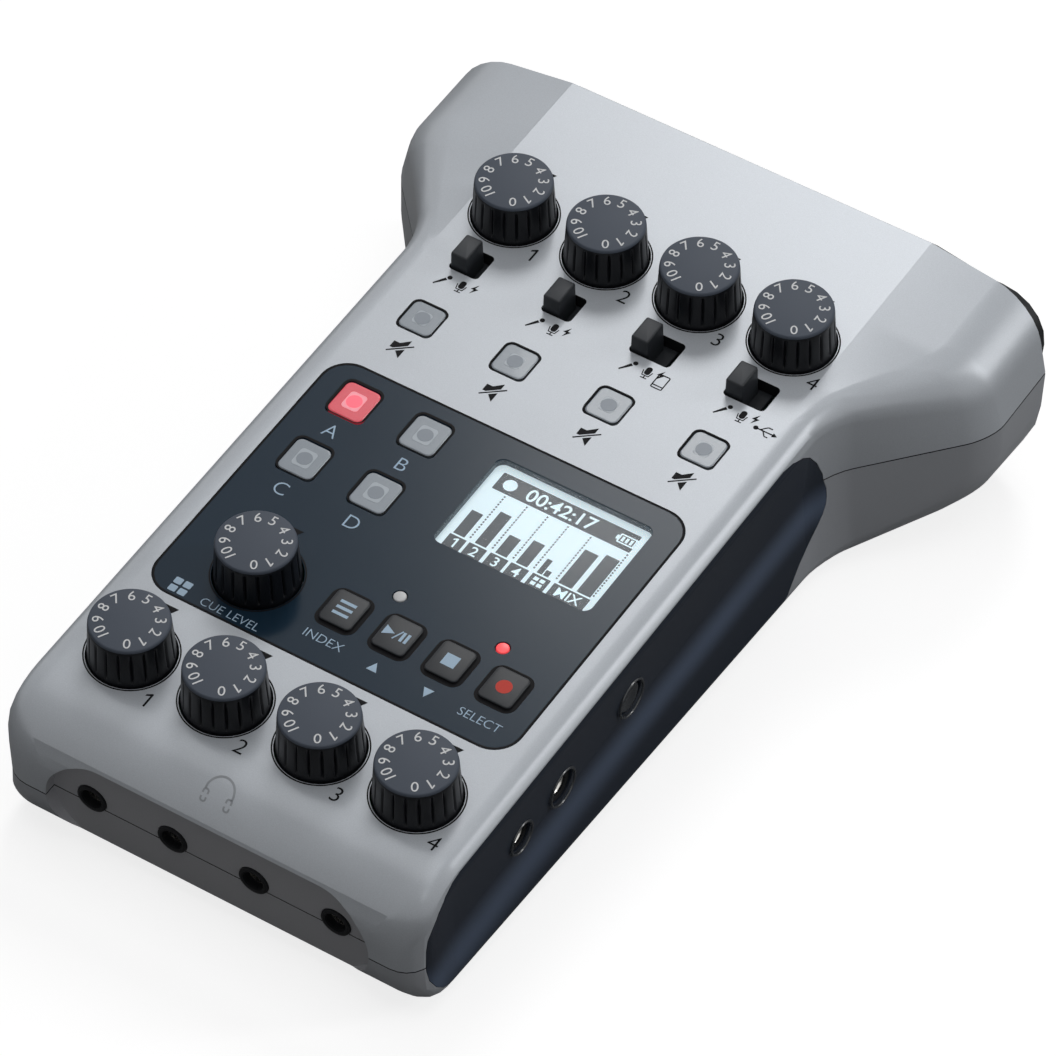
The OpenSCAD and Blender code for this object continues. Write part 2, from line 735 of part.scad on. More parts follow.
module batteries() {
    color("#b7a05a") for (s = [-1, 1]) translate([s * (cell_d + cell_gap) / 2, bay_y, cell_z])
        rod_y(cell_d / 2, -cell_len / 2, cell_len / 2);
}
module battery_contacts() {
    color("#c9cbcc") translate([0, bay_y, cell_z]) for (end = [0, 1]) mirror([0, end, 0]) {
        translate([0, (contact_t - bay_len) / 2, 0])
            block([bay_w - 2 * cell_gap, contact_t], -contact_h / 2, contact_h / 2);
        for (s = [-1, 1]) translate([s * (cell_d + cell_gap) / 2, 0, 0])
            rod_y(spring_r, contact_t - bay_len / 2, contact_t + spring_len - bay_len / 2);
    }
}
module battery_cover() {
    color("#44474b") difference() {
        union() {
            translate([-cover_w / 2, hinge_y, foot_h])
                cube([cover_w, bay_y + cover_len / 2 - hinge_y, cover_t]);
            translate([0, hinge_y, hinge_z]) {
                rod_x(cover_t / 2, -cover_w / 2, cover_w / 2);
                rod_x(hinge_d / 2, -hinge_end + seam, hinge_end - seam);
            }
        }
        translate([0, bay_y + cover_len / 2, 0]) rod(notch_r, 0, foot_h + notch_deep);
    }
}
module feet() { color("#17181a") for (p = feet_at) at(p) rod(foot_r, 0, foot_h + foot_seat); }
module case_screws() {
    color("#777a7e") on_panel() for (p = screws_at) at(p) {
        seat = boss_top(p) - screw_web;
        rod(screw_head[0], seat - screw_head[1], seat);
        rod(screw_r, seat, board_top + screw_bite);
    }
}

// A fluted knob with a flatted bore, and the shaft that it sits on
module knob(p) {
    r_top = knob_top_d / 2;
    lean = atan((knob_r - r_top) / knob_h);
    color("#1d1f22") on_panel() at(p) difference() {
        rotate_extrude() polygon([
            [0, -knob_sink], [knob_r, -knob_sink], [knob_r, knob_foot],
            [r_top, knob_h - knob_bevel], [r_top - knob_bevel, knob_h], [0, knob_h]]);
        for (i = [0:knob_flutes - 1]) rotate([0, 0, i * 360 / knob_flutes])
            translate([knob_r + flute_out, 0, knob_foot]) rotate([0, -lean, 0]) rod(flute_r, 0, 2 * knob_h);
        difference() {
            rod(shaft_r + bore_gap, -knob_sink - over, shaft_top + seam);
            translate([-shaft_d, shaft_flat + bore_gap, -knob_sink - 2 * over])
                cube([2 * shaft_d, shaft_d, 2 * knob_h]);
        }
    }
}
module shaft(p) {
    color("#9fa2a6") on_panel() at(p) difference() {
        rod(shaft_r, pot_floor, shaft_top);
        translate([-shaft_d, shaft_flat, -knob_sink]) cube([2 * shaft_d, shaft_d, 2 * knob_h]);
    }
}
// A slide switch lever at the left end of its slot, with the plate that slides under the cover
module input_lever(i) {
    w = lever_size.x;
    plate = [slots_w[i], slot_len] + [2, 2] * plate_rim;
    color("#3b3e42") on_panel() at([gain_x[i] - (slots_w[i] - w) / 2 + lever_gap, switch_y]) {
        translate([0, lever_size.y / 2, 0]) rotate([90, 0, 0]) linear_extrude(lever_size.y) polygon([
            [-w / 2, plate_top], [w / 2, plate_top], [w / 2, lever_side],
            [w / 2 - lever_slant, lever_h], [lever_slant - w / 2, lever_h], [-w / 2, lever_side]]);
        block(plate, -top_wall - flange_t, plate_top);
        block([stem_w / 2, stem_w], switch_top - lever_dip, -top_wall - flange_t);
    }
}
// A square button of height h in a wall, with a rim below the wall and a stem over its switch
module button(p, size, h, wall) {
    on_panel() at(p) {
        bar(size, button_r - slide_gap, -wall, h);
        bar(size + [2, 2] * flange_rim, button_r, -wall - flange_t, -wall);
        block([stem_w, stem_w], plunger_top + button_travel + seam, -wall - flange_t);
    }
}
module mute_button(i) { color("#8b9097") button(mutes_at[i], mute_size, mute_h, top_wall); }
module sound_pad(i) { color(i == 0 ? "#c2554f" : "#7f878f") button(pads_at[i], pad_size, pad_h, fascia_t); }
module transport_key(i) { color("#3d434a") button(keys_at[i], key_size, key_h, fascia_t); }
module power_button() {
    color("#2b3038") on_panel() translate([0, power_at[0], power_at[1]]) {
        rod_x(power_r, power_end, side_face + slide_gap);
        rod_x(power_boss_r - seam, power_face - flange_t, power_face);
    }
}

top_cover();
bottom_cover();
grip_right();
grip_left();
rear_panel();
control_panel();
display_window();
display_module();
main_board();
input_board();
pot_bodies();
slide_switch_bodies();
tact_switches();
headphone_jacks();
xlr_shells();
xlr_cores();
side_jacks();
usb_ports();
card_slot();
status_leds();
battery_contacts();
batteries();
feet();
case_screws();
battery_cover();
power_button();
knob(pad_knob_at);  // pad_knob
shaft(pad_knob_at);  // pad_shaft
knob(knobs_at[0]);  // gain_knob_1
knob(knobs_at[1]);  // gain_knob_2
knob(knobs_at[2]);  // gain_knob_3
knob(knobs_at[3]);  // gain_knob_4
shaft(knobs_at[0]);  // gain_shaft_1
shaft(knobs_at[1]);  // gain_shaft_2
shaft(knobs_at[2]);  // gain_shaft_3
shaft(knobs_at[3]);  // gain_shaft_4
knob(knobs_at[4]);  // phones_knob_1
knob(knobs_at[5]);  // phones_knob_2
knob(knobs_at[6]);  // phones_knob_3
knob(knobs_at[7]);  // phones_knob_4
shaft(knobs_at[4]);  // phones_shaft_1
shaft(knobs_at[5]);  // phones_shaft_2
shaft(knobs_at[6]);  // phones_shaft_3
shaft(knobs_at[7]);  // phones_shaft_4
input_lever(0);  // input_lever_1
input_lever(1);  // input_lever_2
input_lever(2);  // input_lever_3
input_lever(3);  // input_lever_4
mute_button(0);  // mute_button_1
mute_button(1);  // mute_button_2
mute_button(2);  // mute_button_3
mute_button(3);  // mute_button_4
sound_pad(0);  // sound_pad_1
sound_pad(1);  // sound_pad_2
sound_pad(2);  // sound_pad_3
sound_pad(3);  // sound_pad_4
transport_key(0);  // transport_key_1
transport_key(1);  // transport_key_2
transport_key(2);  // transport_key_3
transport_key(3);  // transport_key_4
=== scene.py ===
# %% [markdown]
# # A desk podcast recorder, dressed for a photograph
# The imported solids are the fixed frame: the parts, the joints and the main sizes come from them.
# This notebook gives them their looks. It copies the big shells and smooths them, models the small
# controls again in finer detail, prints the marks on the panel, and lights the result softly.

# %% Load the frame
import json
from math import asin, atan2, cos, degrees, exp, pi, radians, sin

import bmesh
import bpy
from mathutils import Matrix, Vector
from mathutils.bvhtree import BVHTree


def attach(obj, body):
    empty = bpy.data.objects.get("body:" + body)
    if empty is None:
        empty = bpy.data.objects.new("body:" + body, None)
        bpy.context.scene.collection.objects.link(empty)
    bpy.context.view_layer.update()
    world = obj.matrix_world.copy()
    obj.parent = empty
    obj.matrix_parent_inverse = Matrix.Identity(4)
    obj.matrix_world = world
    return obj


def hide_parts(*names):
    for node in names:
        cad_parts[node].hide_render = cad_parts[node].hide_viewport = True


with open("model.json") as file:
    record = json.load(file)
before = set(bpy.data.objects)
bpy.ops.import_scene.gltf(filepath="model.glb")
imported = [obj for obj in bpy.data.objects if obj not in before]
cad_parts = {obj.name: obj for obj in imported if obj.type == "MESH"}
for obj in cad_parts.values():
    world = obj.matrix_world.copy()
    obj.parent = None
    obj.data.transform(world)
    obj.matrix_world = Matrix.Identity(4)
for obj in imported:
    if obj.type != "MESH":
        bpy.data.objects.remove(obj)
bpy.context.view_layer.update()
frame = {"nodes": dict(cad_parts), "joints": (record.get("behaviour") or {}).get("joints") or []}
nodes = frame["nodes"]
joints = {joint["name"]: joint for joint in frame["joints"]}
FOUR = range(1, 5)
print("CAD nodes:", len(nodes), "joints:", len(joints))

# %% [markdown]
# ## Two frames
# The recorder stands on the ground, but almost everything on it belongs to the sloping control panel.
# The gain knobs turn about the panel's normal, so two of their hinges give the panel's place and slope.
# Pieces are modelled in millimetres on a flat panel, and one matrix then lays the mesh where it goes.

# %% The panel's matrix
MM = 0.001
GROUND = Matrix.Scale(MM, 4)
across = Vector((1, 0, 0))
panel_up = Vector(joints["gain_knob_1_turn"]["axis"]).normalized()
knob_ends = [Vector(joints[name]["pos_m"]) for name in ("gain_knob_1_turn", "gain_knob_4_turn")]
panel_turn = Matrix((across, panel_up.cross(across), panel_up)).transposed()
PANEL = Matrix.Translation((knob_ends[0] + knob_ends[1]) / 2) @ panel_turn.to_4x4() @ GROUND
TO_PANEL = PANEL.inverted()


def span(points):
    """Lowest and highest corner of the box round some points."""
    return Vector(map(min, *points)), Vector(map(max, *points))


def panel_span(node):
    """Lowest and highest corner of a CAD node in the panel's frame, in millimetres."""
    return span([TO_PANEL @ vertex.co for vertex in nodes[node].data.vertices])


def panel_size(node, rim=0.0):
    """Width and length of a CAD node on the panel, less a rim all round."""
    low, high = panel_span(node)
    return high.x - low.x - 2 * rim, high.y - low.y - 2 * rim


def panel_middle(node):
    low, high = panel_span(node)
    return (low + high) / 2


print("panel slope:", round(degrees(asin(-panel_up.y)), 2), "degrees")

# %% [markdown]
# ## Camera
# A long lens looks down on the right front corner. Its bearing, height and distance are given about
# a point on the panel, because the panel is what fills the picture.

# %% Camera
def new_object(name, data):
    """An object that is linked to the scene."""
    made = bpy.data.objects.new(name, data)
    bpy.context.scene.collection.objects.link(made)
    return made


VIEW_BEARING, VIEW_HEIGHT, VIEW_ROLL = (radians(a) for a in (32.721, 49.010, -0.430))
VIEW_TARGET = Vector((15.04, -60.21, 7.65))
VIEW_DISTANCE = 979.49
LENS_MM, SENSOR_MM, REACH_M = 221.66, 36, 20
view_back = Vector((sin(VIEW_BEARING) * cos(VIEW_HEIGHT),
                    -cos(VIEW_BEARING) * cos(VIEW_HEIGHT), sin(VIEW_HEIGHT)))
level_right = Vector((cos(VIEW_BEARING), sin(VIEW_BEARING), 0))
level_up = view_back.cross(level_right)
view_right = level_right * cos(VIEW_ROLL) + level_up * sin(VIEW_ROLL)
view_up = view_back.cross(view_right)
camera_data = bpy.data.cameras.new("photo_camera")
camera_data.lens = LENS_MM
camera_data.sensor_width = SENSOR_MM
camera_data.clip_end = REACH_M
camera = new_object("photo_camera", camera_data)
view_turn = panel_turn @ Matrix((view_right, view_up, view_back)).transposed()
view_spot = PANEL @ (VIEW_TARGET + view_back * VIEW_DISTANCE)
camera.matrix_world = Matrix.Translation(view_spot) @ view_turn.to_4x4()
bpy.context.scene.camera = camera
print("camera at", [round(v, 3) for v in camera.location])

# %% [markdown]
# ## Shared surface effects
# Moulded plastic, soft rubber and metallic paint all show a fine grain. Dark mouldings go paler along
# their edges, which is wear with a painted highlight, and the grips along a low band, which is a painted
# reflection. Each effect is a node group that is built once and placed in materials with its own values.
# The grain and the band read Object coordinates, which every piece shares with the frame.

# %% Node group helpers
def new_group(name, inputs, outputs):
    group = bpy.data.node_groups.new(name, "ShaderNodeTree")
    for label, kind, value in inputs:
        group.interface.new_socket(label, in_out="INPUT", socket_type=kind).default_value = value
    for label, kind in outputs:
        group.interface.new_socket(label, in_out="OUTPUT", socket_type=kind)
    return group, group.nodes.new("NodeGroupInput"), group.nodes.new("NodeGroupOutput")


def feed(tree, node, *values, **named):
    """Sets or links a node's inputs, in their order or by name, with underscores for spaces."""
    pairs = list(zip(node.inputs, values))
    pairs += [(node.inputs[label.replace("_", " ")], value) for label, value in named.items()]
    for socket, value in pairs:
        if isinstance(value, bpy.types.NodeSocket):
            tree.links.new(value, socket)
        else:
            socket.default_value = value


def add_node(tree, kind, *values, operation=None, **named):
    node = tree.nodes.new("ShaderNode" + kind)
    if operation:
        node.operation = operation
    feed(tree, node, *values, **named)
    return node


def math_node(tree, operation, *values):
    return add_node(tree, "Math", *values, operation=operation).outputs[0]


def scaled_colour(tree, colour, factor):
    return add_node(tree, "VectorMath", colour, Scale=factor, operation="SCALE").outputs[0]


# %% Grain and edge groups
FLOAT, COLOUR, VECTOR = "NodeSocketFloat", "NodeSocketColor", "NodeSocketVector"
GREY = (0.5, 0.5, 0.5, 1)
FINE_DETAIL, FINE_SHARE, BROAD_SCALE, SPREAD_GAIN = 3, 0.7, 60, 4
# Pointiness range of the paler edges, which are wear together with a painted highlight.
WEAR_AND_HIGHLIGHT_FROM, WEAR_AND_HIGHLIGHT_TO = 0.53, 0.62
# Height and half width of the band of painted reflection low on the grips.
BAND_Z, BAND_HALF = -21.0, 5.5


def make_grain():
    """Fine grain with broad, faint mottling: colour, roughness and a bumped normal."""
    group, given, made = new_group(
        "Fine grain",
        [("Color", COLOUR, GREY), ("Spread", FLOAT, 0.06), ("Scale", FLOAT, 4000.0),
         ("Roughness", FLOAT, 0.5), ("Rough spread", FLOAT, 0.1), ("Depth", FLOAT, 0.00002)],
        [("Color", COLOUR), ("Roughness", FLOAT), ("Normal", VECTOR)])
    place = add_node(group, "TexCoord").outputs["Object"]
    scale = given.outputs["Scale"]
    fine = add_node(group, "TexNoise", Vector=place, Scale=scale, Detail=FINE_DETAIL).outputs[0]
    broad = add_node(group, "TexNoise", Vector=place, Scale=BROAD_SCALE).outputs[0]
    fine_part = math_node(group, "MULTIPLY", fine, FINE_SHARE)
    broad_part = math_node(group, "MULTIPLY", broad, 1 - FINE_SHARE)
    offset = math_node(group, "SUBTRACT", math_node(group, "ADD", fine_part, broad_part), 0.5)
    spread = math_node(group, "MULTIPLY", given.outputs["Spread"], SPREAD_GAIN)
    shade = math_node(group, "MULTIPLY_ADD", offset, spread, 1)
    rough_spread, rough_base = given.outputs["Rough spread"], given.outputs["Roughness"]
    bump = add_node(group, "Bump", Distance=given.outputs["Depth"], Height=fine)
    feed(group, made, Color=scaled_colour(group, given.outputs["Color"], shade), Normal=bump.outputs[0],
         Roughness=math_node(group, "MULTIPLY_ADD", offset, rough_spread, rough_base))
    return group


def brightening(name, make_factor):
    """A group that brightens a colour by an amount, times a factor that its own nodes work out."""
    group, given, made = new_group(
        name, [("Color", COLOUR, GREY), ("Amount", FLOAT, 1.0)], [("Color", COLOUR)])
    gain = math_node(group, "MULTIPLY_ADD", make_factor(group), given.outputs["Amount"], 1)
    feed(group, made, Color=scaled_colour(group, given.outputs["Color"], gain))
    return group


def worn_edges(group):
    """1 on edges that stick out, where wear and a painted highlight make mouldings paler, and 0 on flat
    faces.
    """
    bend = add_node(group, "NewGeometry").outputs["Pointiness"]
    return add_node(group, "MapRange", Value=bend, From_Min=WEAR_AND_HIGHLIGHT_FROM, From_Max=WEAR_AND_HIGHLIGHT_TO).outputs[0]


def polished_band(group):
    """1 along a band low on the sides, where a painted reflection makes the rubber paler, fading to 0 above
    and below.
    """
    place = add_node(group, "TexCoord").outputs["Object"]
    rise = add_node(group, "VectorMath", place, TO_PANEL[2].xyz, operation="DOT_PRODUCT").outputs["Value"]
    height = math_node(group, "ADD", rise, TO_PANEL[2].w)
    off_band = math_node(group, "ABSOLUTE", math_node(group, "SUBTRACT", height, BAND_Z))
    fade = add_node(group, "MapRange", Value=off_band, From_Max=BAND_HALF, To_Min=1, To_Max=0)
    fade.interpolation_type = "SMOOTHSTEP"
    return fade.outputs[0]


GRAIN = make_grain()
EDGE_WEAR_AND_HIGHLIGHT, PAINTED_REFLECTION = brightening("Edge wear", worn_edges), brightening("Painted reflection band", polished_band)
print("node groups:", GRAIN.name, EDGE_WEAR_AND_HIGHLIGHT.name, PAINTED_REFLECTION.name)

# %% [markdown]
# ## Finishes
# A finish is a Principled shader fed by the groups. What is the same all over the surface, such as
# metal, clear coat or gloss, is set on the shader's own socket. The grain's depth is in micrometres.

# %% Finish maker
MICRON = 1e-6


def finish(name, colour, roughness, spread=0.05, scale=4000, rough_spread=0.12, depth=10,
           wear_and_highlight=0.0, painted_reflection=0.0, gloss=0.5, glow=0.0, **constants):
    material = bpy.data.materials.new(name)
    material.use_nodes = True
    tree = material.node_tree
    shader = tree.nodes["Principled BSDF"]
    grain = add_node(tree, "Group")
    grain.node_tree = GRAIN
    feed(tree, grain, Color=(*colour, 1), Spread=spread, Scale=scale, Roughness=roughness,
         Rough_spread=rough_spread, Depth=depth * MICRON)
    colour_out = grain.outputs["Color"]
    for effect, amount in ((EDGE_WEAR_AND_HIGHLIGHT, wear_and_highlight), (PAINTED_REFLECTION, painted_reflection)):
        if amount:
            brightened = add_node(tree, "Group")
            brightened.node_tree = effect
            feed(tree, brightened, Color=colour_out, Amount=amount)
            colour_out = brightened.outputs["Color"]
    feed(tree, shader, Base_Color=colour_out, Roughness=grain.outputs["Roughness"],
         Normal=grain.outputs["Normal"], Specular_IOR_Level=gloss, Emission_Strength=glow, **constants)
    if glow:
        feed(tree, shader, Emission_Color=colour_out)
    material.diffuse_color = (*colour, 1)
    return material


# %% The recorder's finishes
silver_paint = finish("silver_paint", (0.555, 0.59, 0.635), 0.30, 0.09, 6000, 0.1, 4, Metallic=0.08,
                      gloss=0.4)
lower_paint = finish("lower_paint", (0.45, 0.47, 0.505), 0.40, 0.05, 6000, 0.1, 6, Metallic=0.08, gloss=0.35)
# The front recess gets a darker silver than the skin, which is painted shade in the hollow.
recess_painted_shade = finish("recess_painted_shade", (0.46, 0.465, 0.49), 0.45, 0.05, 5000, 0.1, 8, Metallic=0.08, gloss=0.3)
engraving = finish("engraving", (0.36, 0.38, 0.41), 0.4, 0.05, 9000, 0.1, 4)
groove_shade = finish("groove_shade", (0.012, 0.012, 0.013), 0.6, 0.05, 5000, gloss=0.1)
# The grips get a paler band low on their sides, which is a painted reflection.
grip_rubber = finish("grip_rubber", (0.021, 0.028, 0.042), 0.38, 0.12, 7000, 0.12, 12, painted_reflection=3.6, gloss=0.16)
ring_rubber = finish("ring_rubber", (0.030, 0.035, 0.042), 0.24, 0.08, 7000, 0.08, 4, gloss=0.6)
fascia_plastic = finish("fascia_plastic", (0.010, 0.027, 0.048), 0.16, 0.05, 5000, 0.05, 1, gloss=0.2)
# Paler edges on the dark mouldings are wear together with a painted highlight on their rims.
knob_plastic = finish("knob_plastic", (0.006, 0.0068, 0.009), 0.34, 0.1, 5000, 0.14, 6, wear_and_highlight=1.0, gloss=0.22)
knob_face = finish("knob_face", (0.072, 0.086, 0.112), 0.5, 0.06, 7000, 0.1, 10, gloss=0.2)
lever_plastic = finish("lever_plastic", (0.014, 0.016, 0.019), 0.45, 0.08, 5000, 0.1, 8, wear_and_highlight=0.8, gloss=0.25)
key_plastic = finish("key_plastic", (0.024, 0.027, 0.031), 0.4, 0.1, 8000, 0.12, 10, wear_and_highlight=0.6, gloss=0.25)
black_plastic = finish("black_plastic", (0.007, 0.0075, 0.0085), 0.45, 0.1, 5000, 0.1, 8, wear_and_highlight=0.5, gloss=0.2)
black_ink_and_gap_shade = finish("black_ink_and_gap_shade", (0.005, 0.005, 0.006), 0.55, 0.05, 6000, gloss=0.08)
pale_ink = finish("pale_ink", (0.46, 0.61, 0.76), 0.55, 0.04, 6000, gloss=0.2)
white_ink = finish("white_ink", (0.80, 0.81, 0.82), 0.55, 0.04, 6000, gloss=0.2)
red_ink = finish("red_ink", (0.62, 0.060, 0.042), 0.5, 0.04, 6000, gloss=0.2)
frosted_cap = finish("frosted_cap", (0.27, 0.31, 0.355), 0.24, 0.05, 3000, 0.1, 3, Coat_Weight=0.2)
frosted_lens = finish("frosted_lens", (0.43, 0.48, 0.53), 0.3, 0.04, 3000)
frosted_core = finish("frosted_core", (0.22, 0.255, 0.30), 0.35, 0.04, 3000)
lit_cap = finish("lit_cap", (0.68, 0.055, 0.085), 0.24, 0.05, 3000, Coat_Weight=0.2, glow=0.25)
lit_lens = finish("lit_lens", (0.82, 0.27, 0.32), 0.3, 0.04, 3000, glow=0.4)
lit_core = finish("lit_core", (0.95, 0.085, 0.13), 0.3, 0.04, 3000, glow=0.7)
lamp_white = finish("lamp_white", (0.60, 0.61, 0.62), 0.35, 0.04, 3000)
lamp_red = finish("lamp_red", (0.92, 0.070, 0.08), 0.3, 0.04, 3000, glow=0.6)
lcd_back = finish("lcd_back", (0.68, 0.81, 0.86), 0.6, 0.02, 1500, glow=0.56)
lcd_ink = finish("lcd_ink", (0.075, 0.083, 0.095), 0.6, 0.03, 6000)
jack_metal = finish("jack_metal", (0.62, 0.61, 0.58), 0.28, 0.06, 4000, Metallic=1.0)
plated_steel = finish("plated_steel", (0.55, 0.56, 0.58), 0.32, 0.06, 3000, Metallic=1.0)
screw_steel = finish("screw_steel", (0.10, 0.10, 0.105), 0.35, 0.06, 3000, Metallic=1.0)
board_mask = finish("board_mask", (0.012, 0.075, 0.038), 0.4, 0.1, 1200)
foot_rubber = finish("foot_rubber", (0.013, 0.013, 0.014), 0.75, 0.12, 4000, 0.1, 20, gloss=0.2)
cell_sleeve = finish("cell_sleeve", (0.30, 0.22, 0.07), 0.35, 0.06, 2000, Metallic=0.4)
clear_window = finish("clear_window", (0.80, 0.88, 0.92), 0.08, 0.02, 2500, 0.04, 0.5, Alpha=0.07)
print("finishes:", len(bpy.data.materials))

# %% [markdown]
# ## Making a piece
# Each piece is a bmesh in millimetres. It gets its place from the panel's matrix or the ground's,
# soft shading with crisp edges past a chosen angle, and the body that it moves with.

# %% Piece maker
made_pieces = []


def add_piece(name, bm, finishes, body="case", place=PANEL, stands_for=(), crisp=35):
    bm.transform(place)
    mesh = bpy.data.meshes.new(name)
    bm.to_mesh(mesh)
    bm.free()
    for material in finishes:
        mesh.materials.append(material)
    mesh.polygons.foreach_set("use_smooth", [True] * len(mesh.polygons))
    mesh.set_sharp_from_angle(angle=radians(crisp))
    piece = new_object(name, mesh)
    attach(piece, body)
    if stands_for:
        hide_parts(*stands_for)
    made_pieces.append(piece)
    return piece


def report(what, count=1):
    """Prints the latest pieces and how many faces they have."""
    print(what, {piece.name: len(piece.data.polygons) for piece in made_pieces[-count:]})


def join(target, source, matrix=Matrix.Identity(4)):
    """Adds a bmesh to another one, moved by a matrix."""
    source.transform(matrix)
    mesh = bpy.data.meshes.new("joined")
    source.to_mesh(mesh)
    source.free()
    target.from_mesh(mesh)
    bpy.data.meshes.remove(mesh)


# %% [markdown]
# ## Shells and grips
# The covers are large moulded shells with soft edges. Their solids already have the right form, so a
# copy of each is welded, its flat triangles are joined, and a narrow bevel rounds the cut edges.
# Weighted normals then keep the flat areas flat while the rounded ones shade smoothly. A dark groove
# marks the line where the two covers meet.

# %% Shell copies
WELD_M, FLAT_DEGREES, CREASE_DEGREES = 0.000002, 0.4, 32
NEAR_JOINT, NEAR_FOLD = 0.01, 0.05


def bevel(bm, edges, width, segments):
    return bmesh.ops.bevel(bm, geom=edges, offset=width, offset_type="OFFSET", affect="EDGES",
                           segments=segments, profile=0.5, material=-1, clamp_overlap=True)


def welded_copy(node):
    bm = bmesh.new()
    bm.from_mesh(nodes[node].data)
    bmesh.ops.remove_doubles(bm, verts=bm.verts, dist=WELD_M)
    bmesh.ops.dissolve_limit(bm, angle_limit=radians(FLAT_DEGREES), verts=bm.verts, edges=bm.edges,
                             use_dissolve_boundaries=False)
    return bm


def cut_groove(bm, height, width, material_index):
    """Breaks the sharp edges that lie at one height of the panel's frame, in a dark finish."""
    def at_joint(vertex):
        return abs((TO_PANEL @ vertex.co).z - height) < NEAR_JOINT
    crease = radians(CREASE_DEGREES)
    edges = [e for e in bm.edges if all(map(at_joint, e.verts)) and e.calc_face_angle(0) > crease]
    for face in bevel(bm, edges, width * MM, 1)["faces"]:
        face.material_index = material_index
    return len(edges)


def weigh_normals(piece):
    """Keeps the flat faces of a piece flat beside its rounded edges."""
    weighted = piece.modifiers.new("weighted normals", "WEIGHTED_NORMAL")
    weighted.keep_sharp = True
    weighted.mode = "FACE_AREA_WITH_ANGLE"


def add_shell(name, node, finishes, edge=0.18, choose=None, groove=None, fold=None):
    """A smoothed copy of a solid. Where it has several finishes, choose picks one for each face."""
    bm = welded_copy(node)
    if choose:
        for face in bm.faces:
            normal = panel_turn.transposed() @ face.normal
            face.material_index = choose(TO_PANEL @ face.calc_center_median(), normal)
    if groove:
        print(name, "groove edges:", cut_groove(bm, *groove))
    shell = add_piece(name, bm, finishes, place=Matrix.Identity(4), stands_for=[node],
                      crisp=CREASE_DEGREES)
    if fold:
        points = [TO_PANEL @ vertex.co for vertex in shell.data.vertices]
        on_fold = [abs(abs(point.x) - fold) < NEAR_FOLD and abs(point.z) < NEAR_FOLD for point in points]
        for line in shell.data.edges:
            if all(on_fold[v] for v in line.vertices):
                line.use_edge_sharp = True
    rounding = shell.modifiers.new("rounded cuts", "BEVEL")
    rounding.width = edge * MM
    rounding.segments = 2
    rounding.limit_method = "ANGLE"
    rounding.angle_limit = radians(CREASE_DEGREES)
    weigh_normals(shell)


# %% The big shells
RECESS_REACH, RECESS_RADIUS, RECESS_Z = 19.8, 9.2, -15.6
WALL_AHEAD, WALL_BEHIND, ROUND_SLACK, EDGE_ON = 0.15, 0.1, 0.02, 0.2
PAINTED_HALF, PAINTED_FRONT = 33, -114
HOLE_FLOOR, HOLE_RIM = -2.6, -0.05
jack_wall = panel_span("headphone_jacks")[0].y


def shell_part(point, normal):
    """0 on the painted skin, 1 in the front recess, which is darker as painted shade, 2 on the bare walls of
    the holes in the panel.
    """
    end = Vector((max(-RECESS_REACH, min(RECESS_REACH, point.x)), RECESS_Z))
    in_outline = (point.xz - end).length < RECESS_RADIUS + ROUND_SLACK
    on_wall = point.y > jack_wall - WALL_AHEAD or abs(normal.y) < EDGE_ON
    if point.y < jack_wall + WALL_BEHIND and in_outline and on_wall:
        return 1
    in_panel = abs(point.x) < PAINTED_HALF and point.y > PAINTED_FRONT
    return 2 if in_panel and HOLE_FLOOR < point.z < HOLE_RIM else 0


JOINT_Z, GROOVE, WING_FOLD = -16.0, 0.32, 33.5
add_shell("top_shell", "top_cover", [silver_paint, recess_painted_shade, black_plastic, groove_shade],
          choose=shell_part, groove=(JOINT_Z, GROOVE, 3), fold=WING_FOLD)
add_shell("lower_shell", "bottom_cover", [lower_paint, recess_painted_shade, groove_shade],
          choose=shell_part, groove=(JOINT_Z, GROOVE, 2))
for side in ("right", "left"):
    add_shell("grip_pad_" + side, "grip_" + side, [grip_rubber], edge=0.25)
add_shell("fascia", "control_panel", [fascia_plastic], edge=0.15)
add_shell("rear_plate", "rear_panel", [black_plastic], edge=0.3)
report("shells:", len(made_pieces))

# %% [markdown]
# ## Small mouldings
# Buttons, keys and levers start as a cube. Bevelling the upright edges gives the corner radius, and
# bevelling the top edges gives the soft rim that catches the light. Knobs, jacks and sockets are
# profiles that are spun about their axis.

# %% Rounded block and turned part
LEVEL, WELD = 1e-5, 0.0005


def level_edges(bm, height):
    return [e for e in bm.edges if all(abs(v.co.z - height) < LEVEL for v in e.verts)]


def upright_edges(bm):
    return [e for e in bm.edges if abs(e.verts[0].co.z - e.verts[1].co.z) > LEVEL]


def rounded_block(size, low, high, corner, rim, corner_steps=5, rim_steps=3):
    bm = bmesh.new()
    bmesh.ops.create_cube(bm, size=1)
    bmesh.ops.scale(bm, vec=(size[0], size[1], high - low), verts=bm.verts)
    bmesh.ops.translate(bm, vec=(0, 0, (high + low) / 2), verts=bm.verts)
    bevel(bm, upright_edges(bm), corner, corner_steps)
    bevel(bm, level_edges(bm, high), rim, rim_steps)
    return bm


def turned_part(profile, steps=48):
    """A profile of radius and height, spun about Z."""
    bm = bmesh.new()
    line = [bm.verts.new((radius, 0, z)) for radius, z in profile]
    edges = [bm.edges.new(pair) for pair in zip(line, line[1:])]
    bmesh.ops.spin(bm, geom=line + edges, cent=(0, 0, 0), axis=(0, 0, 1), angle=2 * pi, steps=steps,
                   use_merge=True)
    bmesh.ops.remove_doubles(bm, verts=bm.verts, dist=WELD)
    bmesh.ops.recalc_face_normals(bm, faces=bm.faces)
    return bm


def around(radius, bearing):
    """A spot at a bearing in degrees round the origin."""
    return radius * cos(radians(bearing)), radius * sin(radians(bearing))


